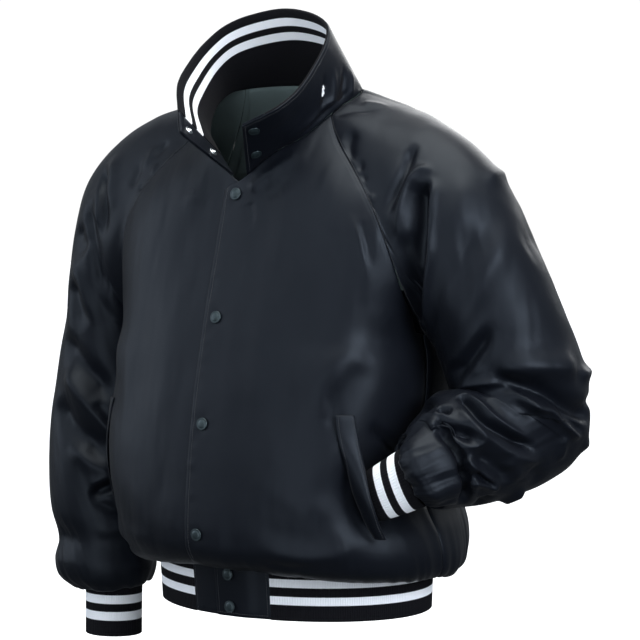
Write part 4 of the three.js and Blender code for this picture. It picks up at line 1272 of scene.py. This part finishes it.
RIGHT_SLEEVE_FOLDS = [
    ([(1.3, 129), (1.1, 120), (1.2, 111)], 2.2, 6, 0.35, 0.4, 1.8),
    ([(0.75, 129), (0.9, 118)], -2.6, 5, 0.35, 0.35),
    ([(1.35, 119), (1.25, 108), (1.3, 99)], -2.2, 6, 0.35, 0.35),
    ([(0.6, 112), (0.3, 100)], 1.6, 4, 0.4, 0.3),
    ([(0.7, 98), (0.3, 88)], -1.6, 4, 0.4, 0.3),
    ([(2.55, 138), (2.35, 118), (2.2, 104), (1.95, 90)], 5.0, 12, 0.25, 0.4, 1.8),
    ([(2.95, 135), (2.75, 118), (2.6, 104), (2.5, 92), (2.55, 79)], -8.5, 8, 0.25, 0.35, 2.0, 0.2),
    ([(3.1, 124), (3.0, 106), (2.95, 92)], 3.0, 9, 0.3, 0.35, 1.8),
    ([(3.8, 122), (3.6, 104), (3.55, 88), (3.75, 72), (4.0, 57)], -7.5, 9, 0.25, 0.25),
    ([(4.6, 123), (4.4, 106), (4.1, 90)], -7.0, 15, 0.3, 0.35),
    ([(5.2, 119), (5.3, 98), (5.6, 82), (5.9, 65)], 6.0, 12, 0.25, 0.35, 1.7),
    ([(5.8, 115), (6.0, 96), (6.3, 77)], -7.0, 13, 0.25, 0.4),
    ([(7.2, 123), (7.35, 104), (7.5, 82), (7.6, 62), (7.95, 45)], -12.0, 15, 0.25, 0.25),
    ([(7.8, 113), (8.0, 92), (8.3, 68), (8.6, 50), (8.9, 33)], 8.5, 12, 0.25, 0.25, 1.7),
    ([(8.1, 66), (8.3, 54), (8.6, 38)], -4.0, 5, 0.3, 0.3),
    ([(8.6, 123), (8.75, 104), (8.95, 82), (9.1, 62), (9.4, 41)], -11.0, 16, 0.25, 0.25),
    ([(9.3, 93), (9.45, 72), (9.6, 54), (9.7, 35)], 5.5, 11, 0.3, 0.25, 1.7),
    ([(9.85, 28), (10.0, 43), (10.2, 56), (10.32, 67)], -9.5, 7, 0.15, 0.4),
    ([(10.8, 28), (10.6, 46), (10.38, 65)], -4.0, 7, 0.15, 0.4),
    ([(9.65, 32), (9.85, 50), (10.1, 68)], 3.0, 5, 0.2, 0.4, 1.7),
    ([(12.0, 126), (11.9, 102), (12.2, 78)], -3.2, 12, 0.3, 0.4),
    ([(11.2, 20), (11.5, 44), (11.4, 70)], 2.4, 10, 0.3, 0.4),
    ([(7.4, 148), (7.5, 180), (7.9, 213)], -5.0, 14, 0.25, 0.3),
    ([(8.2, 150), (8.4, 178), (8.8, 206)], 4.2, 12, 0.25, 0.3, 1.7),
    ([(9.0, 160), (9.2, 190), (9.5, 217)], -5.2, 12, 0.25, 0.3),
    ([(10.0, 200), (10.3, 225), (10.6, 252)], -5.0, 8, 0.25, 0.3),
    ([(9.6, 200), (9.9, 228), (10.1, 250)], 3.0, 8, 0.25, 0.3, 1.7),
    ([(5.0, 160), (5.3, 190), (5.7, 217)], -4.2, 14, 0.25, 0.3),
    ([(2.6, 200), (2.9, 230), (2.9, 263)], -6.2, 12, 0.25, 0.3),
    ([(3.2, 206), (3.4, 235), (3.6, 266)], 4.2, 11, 0.25, 0.3, 1.7),
    ([(6.2, 300), (6.4, 325), (6.5, 348)], -4.0, 10, 0.3, 0.3),
]


def press_all(cloth, folds, place, scale):
    """Presses a table of folds into a cloth; place gives the points of a path on it."""
    for path, height, *form in folds:
        cloth.press(place(cloth, path), height * scale, *form)


def settled_front(side, cloth_sizes):
    """A front with its folds, gathers and seams, the left one pressed in round its snaps."""
    grid = front_grid(side, *FRONT_FINENESS)
    cloth = Cloth(grid, -side)
    press_all(cloth, FRONT_LEFT_FOLDS if side > 0 else FRONT_RIGHT_FOLDS, on_panel, cloth_sizes.folds)
    x, z = side * grid[..., 0], grid[..., 2]
    for height, wide, long, seed, low, high in FRONT_NOISE:
        cloth.height += height * noise(x / wide, z / long, seed + side) * smooth(low, high, x)
    cloth.height *= 1 - np.exp(-((x / 16) ** 4))
    gather(cloth, "bottom", reach=46, height=3.0 * cloth_sizes.gathers, pitch=14, seed=31 + side,
           part=smooth(20, 70, x) * (0.45 + x / 230))
    gather(cloth, "bottom", reach=80, height=5.0 * cloth_sizes.gathers, pitch=11, seed=35 + side,
           part=smooth(160, 190, x))
    seam(cloth, "end", 3)
    if side > 0:
        edge = x + LAP
        cloth.height -= 0.5 * np.exp(-((edge / 1.6) ** 2)) + 0.25 * np.exp(-(((edge - 5) / 1.2) ** 2))
        cloth.height += 0.45 * noise(z / 9, x / 11, 77) * np.exp(-(((edge - 6) / 8) ** 2))
        for snap_z in FRONT_SNAPS:
            away = np.hypot(x, z - snap_z)
            ray = np.arctan2(z - snap_z, x)
            cloth.height -= 0.9 * np.exp(-((away / 10) ** 2))
            cloth.height += 0.35 * noise(4 + 1.9 * ray, away / 40, 81) * np.exp(-(((away - 15) / 9) ** 2))
    return cloth


class JACKET_OT_fronts(bpy.types.Operator):
    """Build both fronts, the left one lapped over the right"""
    bl_idname = "jacket.fronts"
    bl_label = "Fronts"

    def execute(self, context):
        sizes = context.scene.jacket_cloth
        for name, side in (("front_left", 1), ("front_right", -1)):
            add_cloth(name, settled_front(side, sizes), sizes.satin_wall, "BlackSatin")
        return {"FINISHED"}


class JACKET_OT_back(bpy.types.Operator):
    """Build the back and the lining that shows inside its neck"""
    bl_idname = "jacket.back"
    bl_label = "Back"

    def execute(self, context):
        sizes = context.scene.jacket_cloth
        grid = back_grid()
        cloth = Cloth(grid, 1)
        press_all(cloth, BACK_FOLDS, on_panel, sizes.folds)
        cloth.height += 2.2 * noise(grid[..., 0] / 80, grid[..., 2] / 120, 21)
        gather(cloth, "bottom", reach=48, height=3.4 * sizes.gathers, pitch=16, seed=41)
        gather(cloth, "bottom", reach=80, height=5.0 * sizes.gathers, pitch=12, seed=43,
               part=smooth(150, 185, np.abs(grid[..., 0])))
        for seed, edge in enumerate(("start", "end", "top"), 5):
            seam(cloth, edge, seed)
        add_cloth("back", cloth, sizes.satin_wall, "BlackSatin", lined_above=BACK_LINED_ABOVE)
        inset = slice(LINING_INSET, -LINING_INSET)
        inside = grid[:LINING_ROWS, inset] - grid_normals(grid)[:LINING_ROWS, inset] * LINING_DEPTH
        lining = Cloth(inside, 1)
        lining.height += lowest_near(cloth.height, False)[:LINING_ROWS, inset] - 0.5
        lining.height += 0.5 * noise(inside[..., 0] / 22, inside[..., 2] / 30, 22)
        add_cloth("neck_lining", lining, sizes.satin_wall, "GreyLining")
        return {"FINISHED"}


class JACKET_OT_sleeves(bpy.types.Operator):
    """Build both sleeves, the right one hanging and the left one bent"""
    bl_idname = "jacket.sleeves"
    bl_label = "Sleeves"

    def execute(self, context):
        sizes = context.scene.jacket_cloth
        for name, side, table, folds in (("sleeve_left", 1, LEFT_ARM, LEFT_SLEEVE_FOLDS),
                                         ("sleeve_right", -1, RIGHT_ARM, RIGHT_SLEEVE_FOLDS)):
            grid = sleeve_grid(side, *SLEEVE_FINENESS[name])
            cloth = Cloth(grid, -side, ring=True, last=len(table) - 1)
            press_all(cloth, folds, on_sleeve, sizes.folds)
            down = edge_away(grid, "top")
            cloth.height += 1.6 * field(cloth, 7, down / 75, 61 + side) * smooth(10, 70, down)
            cloth.height += 0.5 * field(cloth, 22, down / 24, 63 + side) * smooth(0, 40, down)
            cloth.height *= smooth(-4, 16, down)
            gather(cloth, "top", reach=15, height=0.9 * sizes.gathers, pitch=11, seed=65 + side)
            gather(cloth, "bottom", reach=30, height=3.0 * sizes.gathers, pitch=11, seed=67 + side)
            seam(cloth, "top", 8 + side, pucker=0.5)
            add_cloth(name, cloth, sizes.satin_wall, "BlackSatin", lined_above=SLEEVE_LINED_ABOVE)
        return {"FINISHED"}


def ribbed(grid, sign, sizes, ring=False):
    """A cloth with the wales of a rib knit raised; its grid has WALE_COLUMNS to each wale."""
    cloth = Cloth(grid, sign, ring)
    wave = np.cos(np.arange(grid.shape[1]) * 2 * math.pi / WALE_COLUMNS)
    cloth.ribs = millimetres(sizes.rib_height) * wave[None, :]
    return cloth


def wale_columns(length, sizes, ring=False):
    """How many grid columns a rib knit of this length needs."""
    return WALE_COLUMNS * round(length / millimetres(sizes.wale)) + (not ring)


class JACKET_OT_cuffs(bpy.types.Operator):
    """Build both rib cuffs"""
    bl_idname = "jacket.cuffs"
    bl_label = "Cuffs"

    def execute(self, context):
        sizes = context.scene.jacket_cloth
        for name, side, table in (("cuff_left", 1, LEFT_CUFF), ("cuff_right", -1, RIGHT_CUFF)):
            k = np.linspace(0, len(table) - 1, CUFF_ROWS)
            rough = rings(table, k, np.arange(0, 360, 4.0))
            columns = wale_columns(arc_lengths(rough, 1)[0, -1], sizes, True)
            grid = rings(table, k, np.linspace(0, 360, columns, endpoint=False)) * [side, 1, 1]
            cloth = ribbed(grid, -side, sizes, True)
            add_cloth(name, cloth, sizes.rib_wall, "CuffRib", free_edge="bottom")
        return {"FINISHED"}


class JACKET_OT_collar(bpy.types.Operator):
    """Build the standing collar: satin outside, striped rib inside and a satin tab at each end"""
    bl_idname = "jacket.collar"
    bl_label = "Collar"

    def execute(self, context):
        sizes = context.scene.jacket_cloth
        outer = Cloth(collar_grid(COLLAR_END, 360 - COLLAR_END, *COLLAR_FINENESS["outer"]), -1)
        press_all(outer, COLLAR_FOLDS, on_collar, sizes.folds)
        gather(outer, "bottom", reach=12, height=0.7 * sizes.gathers, pitch=12, seed=91)
        seam(outer, "top", 14)
        seam(outer, "bottom", 15)
        add_cloth("collar_outer", outer, sizes.satin_wall, "BlackSatin")
        rib_end = COLLAR_END + COLLAR_TAB
        rib_start, columns = rib_end + COLLAR_GAP, wale_columns(COLLAR_LENGTH, sizes)
        grid = collar_grid(rib_start, 360 - rib_start, columns, COLLAR_RIB_ROWS, COLLAR_INWARD)
        rib = ribbed(grid, -1, sizes)
        add_cloth("collar_rib", rib, sizes.rib_wall, "CollarRib")
        for name, start, end in (("collar_tab_left", COLLAR_END, rib_end - COLLAR_GAP),
                                 ("collar_tab_right", 360 + COLLAR_GAP - rib_end, 360 - COLLAR_END)):
            tab = Cloth(collar_grid(start, end, *COLLAR_FINENESS["tab"], COLLAR_INWARD), -1)
            seam(tab, "top", 16, stitch_at=3)
            add_cloth(name, tab, sizes.trim_wall, "BlackSatin")
        return {"FINISHED"}


class JACKET_OT_hem(bpy.types.Operator):
    """Build the striped rib hem and the satin tabs at its front"""
    bl_idname = "jacket.hem"
    bl_label = "Hem"

    def execute(self, context):
        sizes = context.scene.jacket_cloth
        half_width = HEM[0][1]
        tab_end = math.degrees(math.asin(HEM_TAB / half_width))
        lap_end = math.degrees(math.asin(LAP / half_width))
        columns = wale_columns(HEM_LENGTH, sizes)
        rib = ribbed(hem_grid(tab_end + HEM_GAP, 360 - HEM_GAP - tab_end, columns, HEM_RIB_ROWS), -1, sizes)
        add_cloth("hem_rib", rib, sizes.rib_wall, "HemRib", free_edge="bottom")
        for name, start, end, lift in (("hem_tab_left", -lap_end, tab_end, HEM_TAB_LIFT),
                                       ("hem_tab_right", -tab_end, lap_end, 0)):
            tab = Cloth(hem_grid(start, end, *HEM_TAB_FINENESS, lift), -1)
            seam(tab, "bottom", 17)
            add_cloth(name, tab, sizes.trim_wall, "BlackSatin", free_edge="bottom")
        return {"FINISHED"}


class JACKET_OT_welts(bpy.types.Operator):
    """Build the two slanting pocket welts"""
    bl_idname = "jacket.welts"
    bl_label = "Pocket welts"

    def execute(self, context):
        sizes = context.scene.jacket_cloth
        for name, side in (("pocket_welt_left", 1), ("pocket_welt_right", -1)):
            welt = Cloth(welt_grid(side), -side)
            for edge in ("start", "end", "top", "bottom"):
                seam(welt, edge, 18, stitch_at=3, drop=0.5, pucker=0.15)
            add_cloth(name, welt, sizes.trim_wall, "BlackSatin")
        return {"FINISHED"}


def thread_line(name, distance, edge):
    """Points and normals on a made cloth, this far in from one of its edges."""
    cloth = CLOTHS[name]
    face = cloth.points + cloth.normals * cloth.height[..., None]
    normals = grid_normals(face, cloth.ring) * cloth.sign
    return inset_line(face, face, distance, edge), inset_line(face, normals, distance, edge)


STITCH_RUNS = {  # distances in from the edges of each cloth
    "sleeve_left": [(3.2, "top")],
    "sleeve_right": [(3.2, "top")],
    "front_left": [(5, "start")],
    "collar_outer": [(4, "top"), (4, "start"), (4, "end")],
    "collar_tab_left": [(3, "start"), (3, "top")],
    "collar_tab_right": [(3, "end"), (3, "top")],
    "pocket_welt_left": [(3, "start"), (3, "end")],
    "pocket_welt_right": [(3, "start"), (3, "end")],
    "hem_tab_left": [(4, "start"), (4, "bottom"), (4, "end")],
    "hem_tab_right": [(4, "start"), (4, "end")],
}


class JACKET_OT_stitching(bpy.types.Operator):
    """Lay the threads of the topstitching beside the seams and edges"""
    bl_idname = "jacket.stitching"
    bl_label = "Topstitching"

    def execute(self, context):
        length = millimetres(context.scene.jacket_cloth.stitch)
        for name, lines in STITCH_RUNS.items():
            stitches(f"{name}_thread", [thread_line(name, *line) for line in lines], length)
        return {"FINISHED"}


CAP_PROFILE = [(0, 0), (7.3, 0), (7.5, 0.5), (7.35, 1.25), (6.9, 1.6), (6.2, 1.55), (5.7, 1.3), (5.3, 1.45),
               (4.6, 1.9), (3.2, 2.2), (1.6, 2.33), (0, 2.36)]
STUD_PROFILE = [(0, 0), (5.5, 0), (5.6, 0.5), (5.3, 0.9), (4.4, 0.95), (3.6, 0.7), (2.9, 0.8), (2.6, 2.0),
                (2.2, 2.35), (1.5, 2.3), (1.2, 1.6), (0, 1.5)]
SNAP_MIDDLE = 1.2
COLLAR_CAP_SCALE = 0.9


class JACKET_OT_snaps(bpy.types.Operator):
    """Build the snap caps on the front, hem and collar and the bright studs inside the collar"""
    bl_idname = "jacket.snaps"
    bl_label = "Snaps"

    def execute(self, context):
        places = {}
        for k, z in enumerate(FRONT_SNAPS):
            profile = CENTRE_FRONT if z > BODY_TOP else [(row[0], row[3]) for row in BODY]
            slope = float(read_table(profile, z + 4)[0] - read_table(profile, z - 4)[0]) / 8
            places[f"snap_front_{k + 1}"] = (0, -1, slope)
        for k in range(len(HEM_SNAPS)):
            places[f"snap_hem_{k + 1}"] = (0, -1, 0)
        for level, rise in COLLAR_SNAPS.items():
            for part, side in (("cap", 1), ("stud", -1)):
                degrees = side * COLLAR_SNAP_AT
                across = collar_point(degrees + 1, rise) - collar_point(degrees - 1, rise)
                up = collar_point(degrees, rise + 0.05) - collar_point(degrees, rise - 0.05)
                places[f"collar_{part}_{level}"] = side * np.cross(across, up)
        for name, outward in places.items():
            profile, finish = (STUD_PROFILE, "SnapStud") if "stud" in name else (CAP_PROFILE, "SnapCap")
            mesh = spun_mesh(f"{name}_metal", profile)
            make_object(f"{name}_metal", mesh, finish, [name])
            low, high = (Vector(corner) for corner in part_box(name))
            turn = Vector(outward).normalized().to_track_quat("Z", "Y")
            scale = COLLAR_CAP_SCALE if "collar_cap" in name else 1
            middle = (low + high) / 2 - turn @ Vector((0, 0, SNAP_MIDDLE * MM))
            mesh.transform(Matrix.LocRotScale(middle, turn, (scale,) * 3))
        return {"FINISHED"}


FLOOR_CORNERS = [(-14, -14), (14, -14), (14, 14), (-14, 14)]
LIT = (0, 0, -0.3)  # where the lamps point
LAMPS = [  # name, power in watts, width and place in metres, colour
    ("key", 40, 2.4, (-3.0, -1.7, 0.4), (0.78, 0.87, 1)),
    ("front", 40, 3.0, (-0.7, -3.5, 2.2), (0.84, 0.92, 1)),
    ("low", 42, 2.6, (0.9, -3.2, -0.8), (0.84, 0.91, 1)),
    ("top", 112, 2.4, (0.5, -0.3, 2.3), (1, 1, 0.97)),
    ("side", 84, 1.4, (2.9, -0.9, 0.7), (0.84, 0.9, 1)),
    ("back", 68, 2.4, (-0.8, 3.0, 1.4), (1, 1, 1)),
]


class JACKET_OT_stage(bpy.types.Operator):
    """Lay the floor and backdrop and set the lights and camera"""
    bl_idname = "jacket.stage"
    bl_label = "Stage"

    def execute(self, context):
        studio = context.scene.jacket_studio
        material, tree, shader = new_material("PalePaper", Roughness=0.9, Emission_Strength=1.0)
        grain = placed(tree, "SoftPatches", {"Size": 0.5})["Value"]
        coloured(tree, shader, grain, (0.90, 0.90, 0.90), (0.93, 0.93, 0.93))
        shader.inputs["Emission Color"].default_value = (1, 1, 1, 1)
        corners = [(x, y, -studio.shoulder_height) for x, y in FLOOR_CORNERS]
        mesh = bpy.data.meshes.new("floor")
        mesh.from_pydata(corners, [], [(0, 1, 2, 3)])
        mesh.materials.append(material)
        floor = bpy.data.objects.new("floor", mesh)
        floor.visible_diffuse = floor.visible_glossy = False
        context.scene.collection.objects.link(floor)
        world = bpy.data.worlds.new("PaleRoom")
        world.use_nodes = True
        tree = world.node_tree
        paper = node(tree, "ShaderNodeBackground", {"Color": (1, 1, 1, 1), "Strength": 1.05})
        towards = node(tree, "ShaderNodeTexCoord").outputs["Generated"]
        height = node(tree, "ShaderNodeSeparateXYZ", {0: towards}).outputs[2]
        share = node(tree, "ShaderNodeMapRange", {0: height, 1: -0.25, 2: 0.35, 3: 0.12, 4: studio.room})
        room = node(tree, "ShaderNodeBackground", {"Color": (0.86, 0.93, 1, 1), "Strength": share.outputs[0]})
        seen = node(tree, "ShaderNodeLightPath").outputs["Is Camera Ray"]
        mix = node(tree, "ShaderNodeMixShader", {0: seen, 1: room.outputs[0], 2: paper.outputs[0]})
        tree.links.new(mix.outputs[0], tree.nodes["World Output"].inputs["Surface"])
        context.scene.world = world
        context.scene.view_settings.view_transform = "Standard"
        for name, power, size, place, colour in LAMPS:
            lamp = bpy.data.lights.new(name, "AREA")
            lamp.energy = power
            lamp.size = size
            lamp.color = colour
            light = bpy.data.objects.new(name, lamp)
            light.location = place
            light.rotation_euler = (Vector(LIT) - light.location).to_track_quat("-Z", "Y").to_euler()
            context.scene.collection.objects.link(light)
        camera = bpy.data.cameras.new("camera")
        camera.sensor_width = 36
        camera.lens = camera.sensor_width * studio.distance / studio.field
        view = bpy.data.objects.new("camera", camera)
        a, e = studio.azimuth, studio.elevation
        away = Vector((math.sin(a) * math.cos(e), -math.cos(a) * math.cos(e), math.sin(e)))
        view.location = Vector(studio.target) + away * studio.distance
        view.rotation_euler = (-away).to_track_quat("-Z", "Y").to_euler()
        context.scene.collection.objects.link(view)
        context.scene.camera = view
        return {"FINISHED"}


class JACKET_OT_finishes(bpy.types.Operator):
    """Make the satin, knit, lining, metal and thread finishes"""
    bl_idname = "jacket.finishes"
    bl_label = "Finishes"

    def execute(self, context):
        colours = context.scene.jacket_colours
        weave_group()
        cloud_group()
        knit_group()
        stripe_group()
        satin_material(colours)
        rib_material("CollarRib", colours, 0.011, 0.031, 0.0115)
        rib_material("HemRib", colours, 0.019, 0.0405, 0.0105)
        rib_material("CuffRib", colours, 0.0195, 0.041, 0.0115)
        lining_material(colours)
        metal_material("SnapCap", colours.snap, 0.55, 0.3)
        metal_material("SnapStud", colours.stud, 1.0, 0.22)
        thread_material(colours)
        return {"FINISHED"}


class JACKET_PT_panel(bpy.types.Panel):
    """The jacket's pieces, sizes and colours"""
    bl_label = "Satin Jacket"
    bl_idname = "JACKET_PT_panel"
    bl_space_type = "VIEW_3D"
    bl_region_type = "UI"
    bl_category = "Jacket"

    def draw(self, context):
        for group in ("jacket_cloth", "jacket_colours", "jacket_studio"):
            settings = getattr(context.scene, group)
            for key in settings.bl_rna.properties.keys():
                if key not in ("rna_type", "name"):
                    self.layout.prop(settings, key)
        for step in STEPS:
            self.layout.operator(step.bl_idname)


STEPS = [JACKET_OT_finishes, JACKET_OT_fronts, JACKET_OT_back, JACKET_OT_sleeves, JACKET_OT_cuffs,
         JACKET_OT_collar, JACKET_OT_hem, JACKET_OT_welts, JACKET_OT_stitching, JACKET_OT_snaps,
         JACKET_OT_stage]
GROUPS = {"jacket_cloth": JacketCloth, "jacket_colours": JacketColours, "jacket_studio": JacketStudio}


def register():
    for kind in (*GROUPS.values(), *STEPS, JACKET_PT_panel):
        bpy.utils.register_class(kind)
    for key, kind in GROUPS.items():
        setattr(bpy.types.Scene, key, PointerProperty(type=kind))


def unregister():
    for key in GROUPS:
        delattr(bpy.types.Scene, key)
    for kind in (JACKET_PT_panel, *reversed(STEPS), *GROUPS.values()):
        bpy.utils.unregister_class(kind)


def main():
    register()
    for step in STEPS:
        group, name = step.bl_idname.split(".")
        getattr(getattr(bpy.ops, group), name)()


if __name__ == "__main__":
    main()
